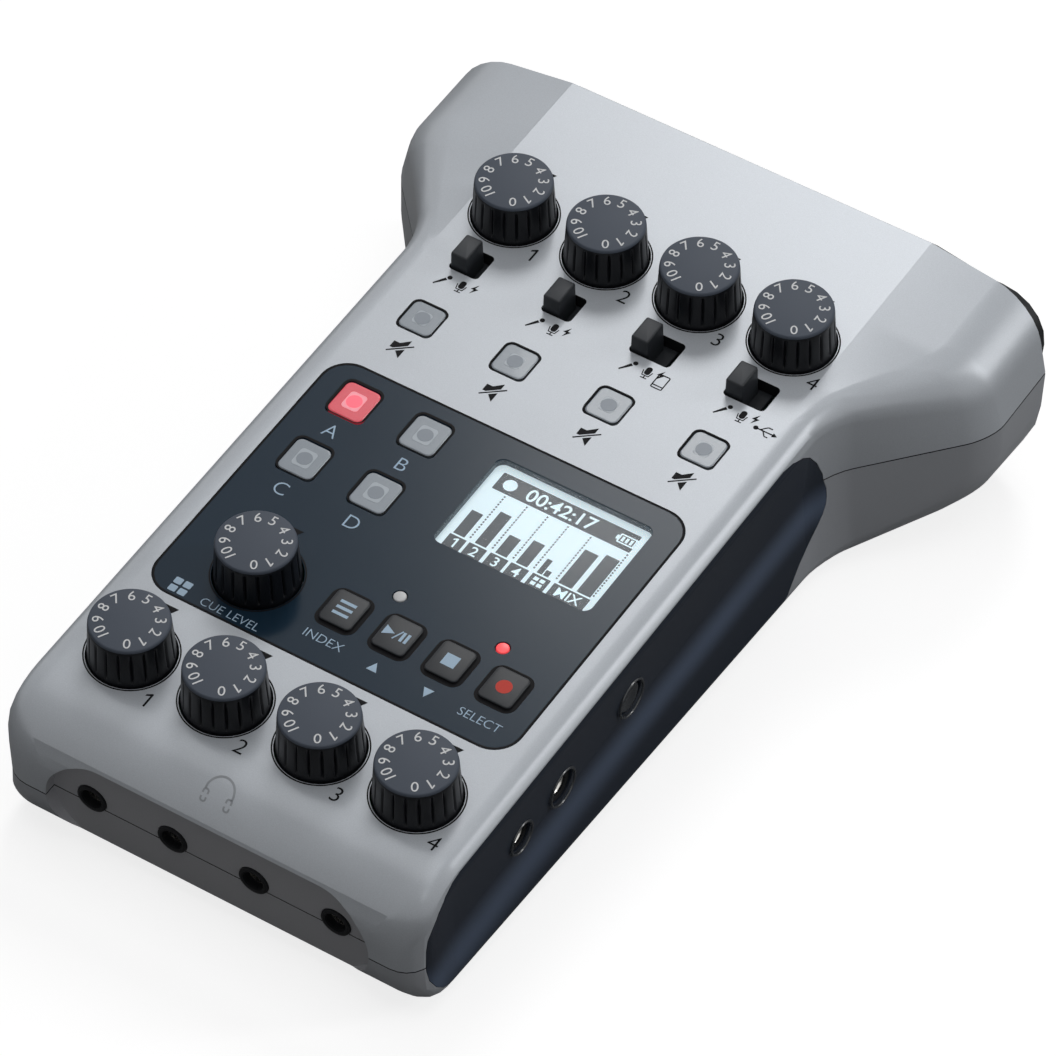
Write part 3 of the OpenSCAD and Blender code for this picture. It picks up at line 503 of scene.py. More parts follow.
# %% [markdown]
# ## Printed marks
# Marks on the panel are a film of ink a few hundredths of a millimetre thick. Each shape is a flat face,
# raised by that thickness, and the shapes of one colour on one body are a single piece.

# %% Ink shapes
FILM, LETTER_STEPS = 0.03, 5
FLAG_OF_ONE = ((0.02, 0), (-0.17, -0.12), (-0.17, -0.21), (0.02, -0.11))


def thicken(bm, faces, film=FILM):
    """Gives flat faces the thickness of a film of ink."""
    raised = bmesh.ops.extrude_face_region(bm, geom=faces)
    moved = [v for v in raised["geom"] if isinstance(v, bmesh.types.BMVert)]
    bmesh.ops.translate(bm, vec=(0, 0, film), verts=moved)


def ink_faces(bm, faces):
    """Turns flat faces upwards and gives them the thickness of the film."""
    for face in faces:
        face.normal_update()
        if face.normal.z < 0:
            face.normal_flip()
    thicken(bm, faces)


def ink_outline(bm, points, z=0.0):
    ink_faces(bm, [bm.faces.new([bm.verts.new((x, y, z)) for x, y in points])])


def ink_bar(bm, start, end, width, z=0.0):
    start, end = Vector(start), Vector(end)
    side = (end - start).normalized().orthogonal() * width / 2
    ink_outline(bm, [start - side, end - side, end + side, start + side], z)


def ink_disc(bm, middle, radius, z=0.0, steps=32):
    ring = bmesh.ops.create_circle(bm, cap_ends=True, segments=steps, radius=radius,
                                   matrix=Matrix.Translation((*middle, z)))
    thicken(bm, list({f for v in ring["verts"] for f in v.link_faces}))


def ink_ring(bm, middle, inner, outer, z=0.0, steps=96):
    place = Matrix.Translation((*middle, z))
    loops = [bmesh.ops.create_circle(bm, segments=steps, radius=radius, matrix=place)["verts"]
             for radius in (inner, outer)]
    edges = list({e for loop in loops for v in loop for e in v.link_edges})
    thicken(bm, bmesh.ops.bridge_loops(bm, edges=edges)["faces"])


def rounded_face(bm, middle, size, corner, z=0.0, steps=5):
    """The only face of an empty bmesh, flat and with rounded corners."""
    grid = bmesh.ops.create_grid(bm, x_segments=1, y_segments=1, size=0.5)
    bmesh.ops.scale(bm, vec=(size[0], size[1], 1), verts=grid["verts"])
    bmesh.ops.translate(bm, vec=(*middle, z), verts=grid["verts"])
    if corner:
        bmesh.ops.bevel(bm, geom=grid["verts"], offset=corner, offset_type="OFFSET", affect="VERTICES",
                        segments=steps, profile=0.5, material=-1)
    return max(bm.faces, key=lambda face: face.calc_area())


def ink_rounded(bm, middle, size, corner, z=0.0):
    part = bmesh.new()
    thicken(part, [rounded_face(part, middle, size, corner, z)])
    join(bm, part)


def ink_frame(bm, middle, size, corner, width, z=0.0, film=FILM):
    part = bmesh.new()
    face = rounded_face(part, middle, size, corner, z)
    rim = bmesh.ops.inset_region(part, faces=[face], thickness=width, depth=0, use_boundary=True)["faces"]
    inner = [f for f in part.faces if f not in rim]
    bmesh.ops.delete(part, geom=inner, context="FACES")
    thicken(part, rim, film)
    join(bm, part)


def add_flag(part):
    """Gives a plain stroke the short flag of a figure one."""
    left, top = min(v.co.x for v in part.verts), max(v.co.y for v in part.verts)
    part.faces.new([part.verts.new((left + x, top + y, 0)) for x, y in FLAG_OF_ONE])


def ink_word(bm, text, middle, height, z=0.0, turn=0.0, weight=0.0):
    """Text as a mesh, scaled so that its letters have the given height."""
    curve = bpy.data.curves.new("letters", "FONT")
    curve.body = text
    curve.resolution_u = LETTER_STEPS
    curve.offset = weight
    letters = new_object("letters", curve)
    bpy.context.view_layer.update()
    graph = bpy.context.evaluated_depsgraph_get()
    mesh = bpy.data.meshes.new_from_object(letters.evaluated_get(graph))
    bpy.data.objects.remove(letters)
    bpy.data.curves.remove(curve)
    part = bmesh.new()
    part.from_mesh(mesh)
    bpy.data.meshes.remove(mesh)
    bmesh.ops.remove_doubles(part, verts=part.verts, dist=WELD)
    if text == "1":
        add_flag(part)
    low, high = span([v.co for v in part.verts])
    scale = height / (high.y - low.y)
    move = Matrix.Translation((*middle, z)) @ Matrix.Rotation(radians(turn), 4, "Z")
    part.transform(move @ Matrix.Scale(scale, 4) @ Matrix.Translation(-(low + high) / 2))
    bmesh.ops.recalc_face_normals(part, faces=part.faces)
    ink_faces(part, list(part.faces))
    join(bm, part)


# %% [markdown]
# ## Frosted buttons
# Each cap is modelled nearly flush with the panel. Two films on it look like what shows through a frosted
# moulding: a paler square for the lens, and a disc for the lamp under it.

# %% Frosted buttons
BUTTON_ROOT, BUTTON_CORNER, BUTTON_RIM, HIDDEN_RIM = -1.2, 1.1, 0.28, 0.8
LENS_IN, LENS_CORNER, CORE_RADIUS = 1.65, 0.6, 1.3
CAP_SUNK = {"mute_button": 0.85, "sound_pad": 1.4}


def frosted_button(size, height):
    """A cap with a film for its lens and a film for the lamp, each with its own finish."""
    bm = rounded_block(size, BUTTON_ROOT, height, BUTTON_CORNER, BUTTON_RIM)
    lens, core = bmesh.new(), bmesh.new()
    ink_rounded(lens, (0, 0), (size[0] - 2 * LENS_IN, size[1] - 2 * LENS_IN), LENS_CORNER, height)
    ink_disc(core, (0, 0), CORE_RADIUS, height + FILM)
    for index, part in enumerate((lens, core), 1):
        for face in part.faces:
            face.material_index = index
        join(bm, part)
    return bm


def place_at(middle):
    return PANEL @ Matrix.Translation((middle.x, middle.y, 0))


def visible_size(node):
    """Width and length of a button's cap, and its height, from its solid with its hidden rim taken off."""
    return panel_size(node, HIDDEN_RIM), panel_span(node)[1].z


for kind, sunk in CAP_SUNK.items():
    for number in FOUR:
        node = f"{kind}_{number}"
        size, height = visible_size(node)
        lit = node == "sound_pad_1"
        looks = [lit_cap, lit_lens, lit_core] if lit else [frosted_cap, frosted_lens, frosted_core]
        cap = add_piece(node + "_cap", frosted_button(size, height - sunk), looks, node,
                        place_at(panel_middle(node)), [node])
        weigh_normals(cap)
print("frosted buttons:", sum("cap" in piece.name for piece in made_pieces))

# %% [markdown]
# ## Knobs
# Nine fluted knobs share one shape. A profile is spun about the axis, and the grooves are pressed in
# by moving the wall's vertices towards the axis. White numbers stand round the flat top, and they go
# up against the clock, so that turning clockwise brings a higher number to the pointer at the rear.

# %% Fluted knob
FLUTES = 20
STEPS_PER_FLUTE = 14
GROOVE_DEPTH, GROOVE_WIDTH = 0.42, 0.17
KNOB_FOOT, KNOB_SHOULDER, KNOB_TOP = 0.7, 6.75, 7.68
WALL_RADIUS, WALL_MARGIN, FACE_FROM = 6.2, 0.1, 7.3
KNOB_PROFILE = [(0, -1.15), (6.74, -1.15), (6.78, -1.0), (6.78, 0.45), (6.74, KNOB_FOOT), (6.72, 1.1),
                (6.60, 3.0), (6.48, 5.0), (6.40, 6.45), (6.38, KNOB_SHOULDER), (6.33, 7.2), (6.24, 7.5),
                (6.10, 7.64), (5.95, KNOB_TOP), (0, KNOB_TOP)]
DIAL_RADIUS, DIAL_HEIGHT, DIAL_STEP, DIAL_MIDDLE = 4.7, 1.8, 30, 5


def fluted_knob():
    bm = turned_part(KNOB_PROFILE, FLUTES * STEPS_PER_FLUTE)
    pitch = 2 * pi / FLUTES
    for v in bm.verts:
        radius = v.co.xy.length
        if radius > WALL_RADIUS and KNOB_FOOT + WALL_MARGIN < v.co.z < KNOB_SHOULDER - WALL_MARGIN:
            angle = atan2(v.co.y, v.co.x)
            away = (angle / pitch - round(angle / pitch)) * pitch * radius
            depth = GROOVE_DEPTH * exp(-(away / GROOVE_WIDTH) ** 2)
            v.co.xy *= (radius - depth) / radius
    for face in bm.faces:
        face.material_index = int(face.calc_center_median().z > FACE_FROM)
    return bm


def dial_numbers():
    bm = bmesh.new()
    for value in range(2 * DIAL_MIDDLE + 1):
        turn = (value - DIAL_MIDDLE) * DIAL_STEP
        ink_word(bm, str(value), around(DIAL_RADIUS, 90 + turn), DIAL_HEIGHT, KNOB_TOP, turn)
    return bm


# %% Nine knobs
knob_names = [f"{row}_knob_{n}" for row in ("gain", "phones") for n in FOUR] + ["pad_knob"]
knob_shape, number_shape = fluted_knob(), dial_numbers()
knob_at = {}
for name in knob_names:
    middle = TO_PANEL @ Vector(joints[name + "_turn"]["pos_m"])
    knob_at[name] = middle
    add_piece(name + "_cap", knob_shape.copy(), [knob_plastic, knob_face], name, place_at(middle),
              [name])
    add_piece(name + "_numbers", number_shape.copy(), [white_ink], name, place_at(middle))
knob_shape.free()
number_shape.free()
print("knobs:", len(knob_names), "at", [tuple(round(v, 1) for v in knob_at[n].xy) for n in knob_names])

# %% [markdown]
# ## Slide levers and transport keys
# The levers are smooth pegs that narrow towards the top, and the keys are flat caps with a printed sign.

# %% Levers
PEG_SIZE, PEG_ROOT, PEG_CORNER, PEG_RIM = (3.4, 4.9), -2.3, 0.35, 0.55
TAPER, TAPER_FROM = 0.035, 0.5
PLATE_LOW, PLATE_HIGH, PLATE_CORNER, PLATE_RIM = -3.1, -2.45, 0.3, 0.1
for number in FOUR:
    node = f"input_lever_{number}"
    low, high = panel_span(node)
    peg = rounded_block(PEG_SIZE, PEG_ROOT, high.z, PEG_CORNER, PEG_RIM, 3, 3)
    for v in peg.verts:
        if v.co.z > TAPER_FROM:
            v.co.x *= 1 - TAPER * v.co.z
    join(peg, rounded_block(panel_size(node), PLATE_LOW, PLATE_HIGH, PLATE_CORNER, PLATE_RIM, 2, 1))
    add_piece(node + "_peg", peg, [lever_plastic], node, place_at((low + high) / 2), [node])
report("levers:", 4)

# %% Transport keys
def stamp(bm, sign, x, y, z=0.0):
    """Draws a sign about the origin and adds it at a spot."""
    part = bmesh.new()
    sign(part)
    join(bm, part, Matrix.Translation((x, y, z)))


def sign_menu(bm):
    for y in (1.2, 0, -1.2):
        ink_bar(bm, (-1.4, y), (1.4, y), 0.55)


def sign_play(bm):
    ink_outline(bm, [(-2.3, -0.95), (-0.45, 0), (-2.3, 0.95)])
    ink_bar(bm, (-0.35, -1.0), (0.55, 1.0), 0.22)
    for x in (0.95, 1.75):
        ink_bar(bm, (x, -0.95), (x, 0.95), 0.48)


def sign_stop(bm):
    ink_rounded(bm, (0, 0), (2.35, 2.35), 0)


def sign_record(bm):
    ink_disc(bm, (0, 0), 1.3)


KEY_SUNK, KEY_CORNER, KEY_RIM, SIDE_BELOW = 0.3, 0.85, 0.25, 0.2
key_signs = [(sign_menu, pale_ink), (sign_play, pale_ink), (sign_stop, pale_ink), (sign_record, red_ink)]
for number, (sign, ink) in enumerate(key_signs, 1):
    node = f"transport_key_{number}"
    size, height = visible_size(node)
    place = place_at(panel_middle(node))
    cap = rounded_block(size, BUTTON_ROOT, height - KEY_SUNK, KEY_CORNER, KEY_RIM)
    for face in cap.faces:
        face.material_index = int(face.normal.z < SIDE_BELOW)
    add_piece(node + "_cap", cap, [key_plastic, groove_shade], node, place, [node])
    mark = bmesh.new()
    stamp(mark, sign, 0, 0, height - KEY_SUNK)
    add_piece(node + "_sign", mark, [ink], node, place)
print("transport keys:", len(key_signs))

# %% [markdown]
# ## Marks on the silver panel
# Black rings and pointers round the knobs, channel numbers, signs in front of the switches for what they
# choose, and crossed speakers in front of the mute buttons, which also have painted shade in a dark gap round
# them.

# %% Signs of the switches and buttons
def microphone_stick(bm):
    head = Vector((0.925, 1.25))
    along = head.normalized()
    side = along.orthogonal()
    neck = head - along * 0.8
    ink_outline(bm, [-head - side * 0.12, neck - side * 0.28, neck + side * 0.28, side * 0.12 - head])
    ink_disc(bm, head - along * 0.2, 0.42, steps=16)


def studio_microphone(bm):
    ink_rounded(bm, (0, 0.35), (1.0, 1.7), 0.48)
    for side in (-1, 1):
        ink_bar(bm, (side * 0.82, 0.3), (side * 0.55, -0.75), 0.16)
    ink_bar(bm, (-0.6, -0.72), (0.6, -0.72), 0.16)
    ink_bar(bm, (0, -0.7), (0, -1.2), 0.2)
    ink_bar(bm, (-0.55, -1.25), (0.55, -1.25), 0.18)


def bolt(bm):
    ink_outline(bm, [(0.25, 1.1), (-0.6, -0.1), (-0.05, -0.1), (-0.3, -1.1), (0.6, 0.2), (0.05, 0.2)])


def crossed_speaker(bm):
    ink_outline(bm, [(-1.65, 0.8), (-0.6, 0.8), (0.8, 2.1), (0.8, 0.92), (-1.1, -0.6), (-1.65, -0.6)])
    ink_outline(bm, [(-0.35, -0.95), (0.8, -0.03), (0.8, -2.1)])
    ink_bar(bm, (-1.75, -1.55), (1.75, 1.25), 0.24)


def phone(bm):
    ink_frame(bm, (0, 0), (2.1, 3.1), 0.3, 0.2)
    ink_bar(bm, (-0.9, -0.9), (0.9, -0.9), 0.2)


def branched_arrow(bm):
    ink_bar(bm, (0, 0), (3.2, 0), 0.22)
    ink_disc(bm, (0, 0), 0.42, steps=16)
    ink_outline(bm, [(3.0, 0.45), (3.8, 0), (3.0, -0.45)])
    for foot, bend, tip, rise in ((0.8, 1.7, 2.5, 1.0), (1.3, 2.0, 2.6, -0.9)):
        ink_bar(bm, (foot, 0), (bend, rise), 0.2)
        ink_bar(bm, (bend, rise), (tip, rise), 0.2)


# %% Rings, pointers and painted gap shade
RING_INNER, RING_WIDTH = 7.22, 0.24
POINTER = ((-1.25, 10.7), (0, 8.5), (1.25, 10.7))


def dial_frame(bm, name):
    """The ring round a knob and the pointer behind it."""
    x, y = knob_at[name].xy
    ink_ring(bm, (x, y), RING_INNER, RING_INNER + RING_WIDTH)
    ink_outline(bm, [(x + right, y + back) for right, back in POINTER])


def well(bm, node, width, shift=(0.0, 0.0)):
    """Painted shade in the gap round a button, as wide as given and wider towards one side."""
    size = panel_size(node, HIDDEN_RIM)
    outer = (size[0] + 2 * width, size[1] + 2 * width)
    ink_frame(bm, panel_middle(node).xy + Vector(shift), outer, BUTTON_CORNER + width, width)


# %% Dark marks
# The dark gaps round the mute buttons are painted shade, shifted to lie wider towards the rear left.
MUTE_GAP, MUTE_SHADE_SHIFT = 0.3, (-0.1, 0.18)
NUMBER_AT = {"gain": (7.1, -6.0), "phones": (6.95, -6.3)}
NUMBER_HEIGHT, NUMBER_WEIGHT = 2.7, -0.008
CHANNEL_SIGNS = [(microphone_stick, -1.925, -18.15), (studio_microphone, 1.4, -17.75), (bolt, 3.5, -17.2),
                 (crossed_speaker, 0.45, -33.75)]
PHONE_AT, ARROW_AT = (4.2, -18.4), (4.4, -18.6)
gain_x = [knob_at[f"gain_knob_{number}"].x for number in FOUR]
marks = bmesh.new()
for number in FOUR:
    well(marks, f"mute_button_{number}", MUTE_GAP, MUTE_SHADE_SHIFT)
for name in knob_names[:-1]:
    dial_frame(marks, name)
for number, x in enumerate(gain_x, 1):
    for row, (right, back) in NUMBER_AT.items():
        knob = knob_at[f"{row}_knob_{number}"]
        ink_word(marks, str(number), (knob.x + right, knob.y + back), NUMBER_HEIGHT, weight=NUMBER_WEIGHT)
    for sign, right, y in CHANNEL_SIGNS:
        stamp(marks, sign, x + right, y)
stamp(marks, phone, gain_x[2] + PHONE_AT[0], PHONE_AT[1])
stamp(marks, branched_arrow, gain_x[3] + ARROW_AT[0], ARROW_AT[1])
add_piece("panel_marks", marks, [black_ink_and_gap_shade])
report("panel marks:")

# %% [markdown]
# ## Marks on the fascia
# Pale letters and signs, a thin black line where the fascia meets the cover, and painted shade in dark
# gaps round the pads and the keys.

# %% Dark line and painted gap shade
FASCIA_CORNER, FASCIA_LINE = 4.7, 0.32
# The dark gaps round the pads and keys are painted shade; the pads' gaps lie wider towards the rear left.
PAD_GAP, PAD_SHADE_SHIFT, KEY_GAP = 0.45, (-0.12, 0.32), 0.75
fascia_size = panel_size("control_panel")
line_and_gap_shade = bmesh.new()
ink_frame(line_and_gap_shade, panel_middle("control_panel").xy, fascia_size, FASCIA_CORNER, FASCIA_LINE)
dial_frame(line_and_gap_shade, "pad_knob")
for number in FOUR:
    well(line_and_gap_shade, f"sound_pad_{number}", PAD_GAP, PAD_SHADE_SHIFT)
    well(line_and_gap_shade, f"transport_key_{number}", KEY_GAP)
add_piece("fascia_line_and_gap_shade", line_and_gap_shade, [black_ink_and_gap_shade])
report("fascia line:")

# %% Pale marks
PALE_WEIGHT, LETTER_HEIGHT, WORD_HEIGHT, CUE_HEIGHT = -0.012, 2.5, 1.55, 1.5
LETTER_RIGHT, LETTER_BACK = 0.2, -6.85
INDEX_AT, SELECT_AT, CUE_AT = (0.4, -89.7), (0.1, -90.3), (-17.3, -93.05)
UP_MARK = ((-0.7, -90.95), (1.1, -90.95), (0.2, -89.2))
DOWN_MARK = ((-0.85, -89.3), (0.95, -89.3), (0.05, -91.05))
TILE_X, TILE_Y, TILE_SIZE, TILE_CORNER = (-27.6, -25.9), (-91.65, -93.25), (1.35, 1.25), 0.2
signs = bmesh.new()
for number, letter in enumerate("ABCD", 1):
    pad = panel_middle(f"sound_pad_{number}")
    spot = (pad.x + LETTER_RIGHT, pad.y + LETTER_BACK)
    ink_word(signs, letter, spot, LETTER_HEIGHT, weight=PALE_WEIGHT)
key_x = [panel_middle(f"transport_key_{number}").x for number in FOUR]
for word, x, (right, y) in (("INDEX", key_x[0], INDEX_AT), ("SELECT", key_x[3], SELECT_AT)):
    ink_word(signs, word, (x + right, y), WORD_HEIGHT, weight=PALE_WEIGHT)
for x, outline in ((key_x[1], UP_MARK), (key_x[2], DOWN_MARK)):
    ink_outline(signs, [(x + right, y) for right, y in outline])
for x in TILE_X:
    for y in TILE_Y:
        ink_rounded(signs, (x, y), TILE_SIZE, TILE_CORNER)
ink_word(signs, "CUE LEVEL", CUE_AT, CUE_HEIGHT, weight=PALE_WEIGHT)
add_piece("fascia_marks", signs, [pale_ink])
report("fascia marks:")

# %% [markdown]
# ## Display
# A pale backlit screen lies under the window. Its layout is plain: a clock and a battery sign in a dark
# strip at the top, level bars between rows of ticks, and a row of dark boxes under the bars.

# %% Screen
SCREEN_CORNER, SCREEN_RIM = 0.4, 0.1
screen_low, screen_high = panel_span("display_module")
screen_place = place_at((screen_low + screen_high) / 2)
screen_size = panel_size("display_module")
screen = rounded_block(screen_size, screen_low.z, screen_high.z, SCREEN_CORNER, SCREEN_RIM, 2, 1)
add_piece("screen", screen, [lcd_back], place=screen_place, stands_for=["display_module"])
print("screen size:", [round(length, 1) for length in screen_size])

# %% Dark pixels
STRIP_Y, BAR_FOOT, BOX_Y = 6.6, -6.0, -7.65
LEVEL_BARS = [(-11.5, 2.0, 5.4), (-7.6, 2.0, 7.4), (-3.9, 2.0, 4.2), (-0.2, 2.0, 5.2), (3.0, 0.9, 3.2),
              (4.1, 0.9, 1.2), (7.6, 2.4, 7.8), (10.9, 2.4, 8.6)]
TICK_X = (-9.7, -5.7, -1.95, 1.75, 5.8, 12.4)
TICKS, TICK_TOP, TICK_STEP = 17, 4.2, 0.6
BOXES = [(-11.3, 3.0), (-7.7, 3.2), (-3.85, 3.2), (-0.15, 3.2), (3.75, 3.2), (9.2, 6.4)]
strip = [((0, STRIP_Y), (24.8, 3.7), 0.15)]
bars = [((x, BAR_FOOT + height / 2), (width, height), 0.05) for x, width, height in LEVEL_BARS]
ticks = [((x, TICK_TOP - step * TICK_STEP), (0.28, 0.3), 0) for x in TICK_X for step in range(TICKS)]
boxes = [((x, BOX_Y), (width, 2.6), 0.1) for x, width in BOXES]
pixels = bmesh.new()
for spot, size, corner in strip + bars + ticks + boxes:
    ink_rounded(pixels, spot, size, corner, screen_high.z)
add_piece("screen_pixels", pixels, [lcd_ink], place=screen_place)
report("dark pixels:")

# %% Pale glyphs and window
DOT_X, CLOCK_X, CELL_X, CELL_END_X = -10.2, -0.9, 10.9, 9.2
CLOCK_WEIGHT, BOX_WEIGHT = 0.012, 0.01
CHARGE_X, GRID_X, GRID_Y = (10.15, 10.9, 11.65), (3.2, 4.3), (-7.15, -8.15)
PANE_GAP, PANE_CORNER, PANE_RIM = 0.08, 1.45, 0.05
glyphs = bmesh.new()
z = screen_high.z + FILM
ink_disc(glyphs, (DOT_X, STRIP_Y), 1.15, z)
ink_word(glyphs, "00:42:17", (CLOCK_X, STRIP_Y), 2.6, z, weight=CLOCK_WEIGHT)
ink_frame(glyphs, (CELL_X, STRIP_Y), (3.0, 1.9), 0.1, 0.26, z)
ink_rounded(glyphs, (CELL_END_X, STRIP_Y), (0.4, 0.9), 0, z)
for x in CHARGE_X:
    ink_rounded(glyphs, (x, STRIP_Y), (0.45, 1.0), 0, z)
for number, box in zip(FOUR, BOXES):
    ink_word(glyphs, str(number), (box[0], BOX_Y), 1.9, z, weight=BOX_WEIGHT)
for x in GRID_X:
    for y in GRID_Y:
        ink_rounded(glyphs, (x, y), (0.8, 0.7), 0, z)
ink_word(glyphs, "MIX", (BOXES[-1][0], BOX_Y), 1.8, z, weight=BOX_WEIGHT)
add_piece("screen_glyphs", glyphs, [lcd_back], place=screen_place)
low, high = panel_span("display_window")
pane = rounded_block(panel_size("display_window", PANE_GAP), low.z + 3 * FILM, high.z, PANE_CORNER, PANE_RIM)
add_piece("window_pane", pane, [clear_window], place=place_at((low + high) / 2),
          stands_for=["display_window"])
report("screen pieces:", 4)

# %% Lamps
LAMP_RADIUS, LAMP_TOP, LAMP_DEPTH, LAMP_RIM, LAMP_REACH = 1.05, 0.05, 3, 0.2, 2.5
lamp_points = [TO_PANEL @ vertex.co for vertex in nodes["status_leds"].data.vertices]
lamp_low, lamp_high = panel_span("status_leds")
for name, x_end, material in (("lamp_left", lamp_low.x, lamp_white), ("lamp_right", lamp_high.x, lamp_red)):
    low, high = span([point for point in lamp_points if abs(point.x - x_end) < LAMP_REACH])
    dome = bmesh.new()
    bmesh.ops.create_cone(dome, cap_ends=True, segments=40, radius1=LAMP_RADIUS, radius2=LAMP_RADIUS,
                          depth=LAMP_DEPTH, matrix=Matrix.Translation((0, 0, LAMP_TOP - LAMP_DEPTH / 2)))
    bevel(dome, level_edges(dome, LAMP_TOP), LAMP_RIM, 3)
    add_piece(name, dome, [material], place=place_at((low + high) / 2),
              stands_for=["status_leds"] if name == "lamp_left" else ())
report("lamps:", 2)

# %% [markdown]
# ## Sides, front and rear
# The power button has a dished face and a raised ring round it. The jacks have a chamfered lip and a
# metal sleeve, the rear sockets get a core with three pin mouths, and a band frames the rear plate. The
# parts that are left keep their solids, in their own finishes.

# %% Power button
TO_RIGHT = Matrix.Rotation(radians(90), 4, "Y")
TO_LEFT = Matrix.Rotation(radians(-90), 4, "Y")
TO_REAR = Matrix.Rotation(radians(-90), 4, "X")
POWER_RADIUS = 2.7
POWER_FACE = [(POWER_RADIUS, -0.25), (2.45, 0), (2.0, 0), (1.6, -0.25), (0, -0.4)]
low, high = panel_span("power_button")
power_y, power_z = (low.y + high.y) / 2, (low.z + high.z) / 2
power_profile = [(0, low.x), (POWER_RADIUS, low.x)] + [(radius, high.x + z) for radius, z in POWER_FACE]
add_piece("power_button_cap", turned_part(power_profile), [ring_rubber], "power_button",
          PANEL @ Matrix.Translation((0, power_y, power_z)) @ TO_RIGHT, ["power_button"])
print("power button face at x =", round(high.x, 2))

# %% Jack lips and sleeves
BORE = 1.85
LIP_PROFILE = [(BORE, 0.35), (BORE, -0.3), (2.15, -0.42), (2.55, -0.3), (2.55, 0.2), (BORE, 0.35)]
EYELET_PROFILE = [(1.4, 0.75), (1.8, 0.35), (1.84, 0.35), (1.84, 0.9), (1.4, 0.75)]
SLEEVE_PROFILE = [(1.72, 1.2), (1.72, 9), (1.79, 9), (1.79, 1.2), (1.72, 1.2)]
FRONT_PITCH, FRONT_Z = 14.6, -14.5
SIDE_JACKS, SIDE_Z = ((-85.6, 2.9), (-97.0, 2.5)), -13.2


def side_rim(nose):
    """The lip of a side jack, as wide as its nose."""
    return [(BORE, 0.3), (BORE, 0.05), (2.1, -0.12), (nose - 0.1, -0.12), (nose - 0.02, 0.02),
            (nose - 0.02, 0.3), (BORE, 0.3)]


lips, sleeves = bmesh.new(), bmesh.new()
for place_across in (-1.5, -0.5, 0.5, 1.5):
    place = Matrix.Translation((place_across * FRONT_PITCH, jack_wall, FRONT_Z)) @ TO_REAR
    join(lips, turned_part(LIP_PROFILE), place)
    join(sleeves, turned_part(SLEEVE_PROFILE), place)
side_mouth = panel_span("side_jacks")[1].x
for y, nose in SIDE_JACKS:
    place = Matrix.Translation((side_mouth, y, SIDE_Z)) @ TO_LEFT
    join(lips, turned_part(side_rim(nose)), place)
    join(sleeves, turned_part(SLEEVE_PROFILE), place)
    join(sleeves, turned_part(EYELET_PROFILE), place)
add_piece("jack_lips", lips, [black_plastic])
add_piece("jack_sleeves", sleeves, [jack_metal])
report("jack pieces:", 2)

# %% Mark on the lip
APPROACH = 10


def surface_of(node):
    """A search tree over a solid's skin, in the panel's frame."""
    bm = welded_copy(node)
    bm.transform(TO_PANEL)
    tree = BVHTree.FromBMesh(bm)
    bm.free()
    return tree


def lay_on(bm, tree, spot, along, inward):
    """Lays a flat mark on a curved skin: X goes across, Y along the skin, and each point drops onto it."""
    for v in bm.verts:
        start_at = spot + Vector((v.co.x, 0, 0)) + along * v.co.y - inward * APPROACH
        hit, normal = tree.ray_cast(start_at, inward)[:2]
        v.co = hit + normal * v.co.z


def arc_band(bm, radius, width, start, end, steps=40):
    side = [bm.verts.new((r, 0, 0)) for r in (radius - width / 2, radius + width / 2)]
    first = bm.edges.new(side)
    bmesh.ops.rotate(bm, verts=side, cent=(0, 0, 0), matrix=Matrix.Rotation(radians(start), 3, "Z"))
    bmesh.ops.spin(bm, geom=side + [first], cent=(0, 0, 0), axis=(0, 0, 1), angle=radians(end - start),
                   steps=steps)
    ink_faces(bm, list(bm.faces))


HOOP_RADIUS, HOOP_WIDTH, HOOP_START, HOOP_END = 2.35, 0.34, -8, 188
CUP_X, CUP_Y, CUP_SIZE, CUP_CORNER, CUP_LINE = 2.05, -1.2, (1.15, 2.2), 0.5, 0.3
MARK_SPOT, MARK_SLOPE = Vector((-0.3, -120.6, -2.4)), radians(48)
lip_mark = bmesh.new()
arc_band(lip_mark, HOOP_RADIUS, HOOP_WIDTH, HOOP_START, HOOP_END)
for side in (-1, 1):
    ink_frame(lip_mark, (side * CUP_X, CUP_Y), CUP_SIZE, CUP_CORNER, CUP_LINE)
up_slope = Vector((0, cos(MARK_SLOPE), sin(MARK_SLOPE)))
into_slope = Vector((0, sin(MARK_SLOPE), -cos(MARK_SLOPE)))
lay_on(lip_mark, surface_of("top_cover"), MARK_SPOT, up_slope, into_slope)
add_piece("lip_mark", lip_mark, [engraving])
report("lip mark:")

# %% Rings on the grip
RING_PROFILE = [(-0.24, 0.0), (-0.24, 0.12), (-0.1, 0.26), (0.1, 0.26), (0.24, 0.12), (0.24, 0.0)]
RING_SUNK, OUTSIDE_X = 0.05, 60
SIDE_RINGS = (3.3, 2.85)
ring_places = [(power_y, power_z, SIDE_RINGS[0])]
ring_places += [(y, SIDE_Z, radius) for (y, nose), radius in zip(SIDE_JACKS, SIDE_RINGS)]
grip_skin = surface_of("grip_right")
rings = bmesh.new()
for y, z, radius in ring_places:
    profile = [(radius + out, rise) for out, rise in RING_PROFILE]
    hit = grip_skin.ray_cast(Vector((OUTSIDE_X, y, z + radius)), Vector((-1, 0, 0)))[0]
    join(rings, turned_part(profile + profile[:1]), Matrix.Translation((hit.x - RING_SUNK, y, z)) @ TO_RIGHT)
add_piece("grip_rings", rings, [ring_rubber])
report("grip rings:")

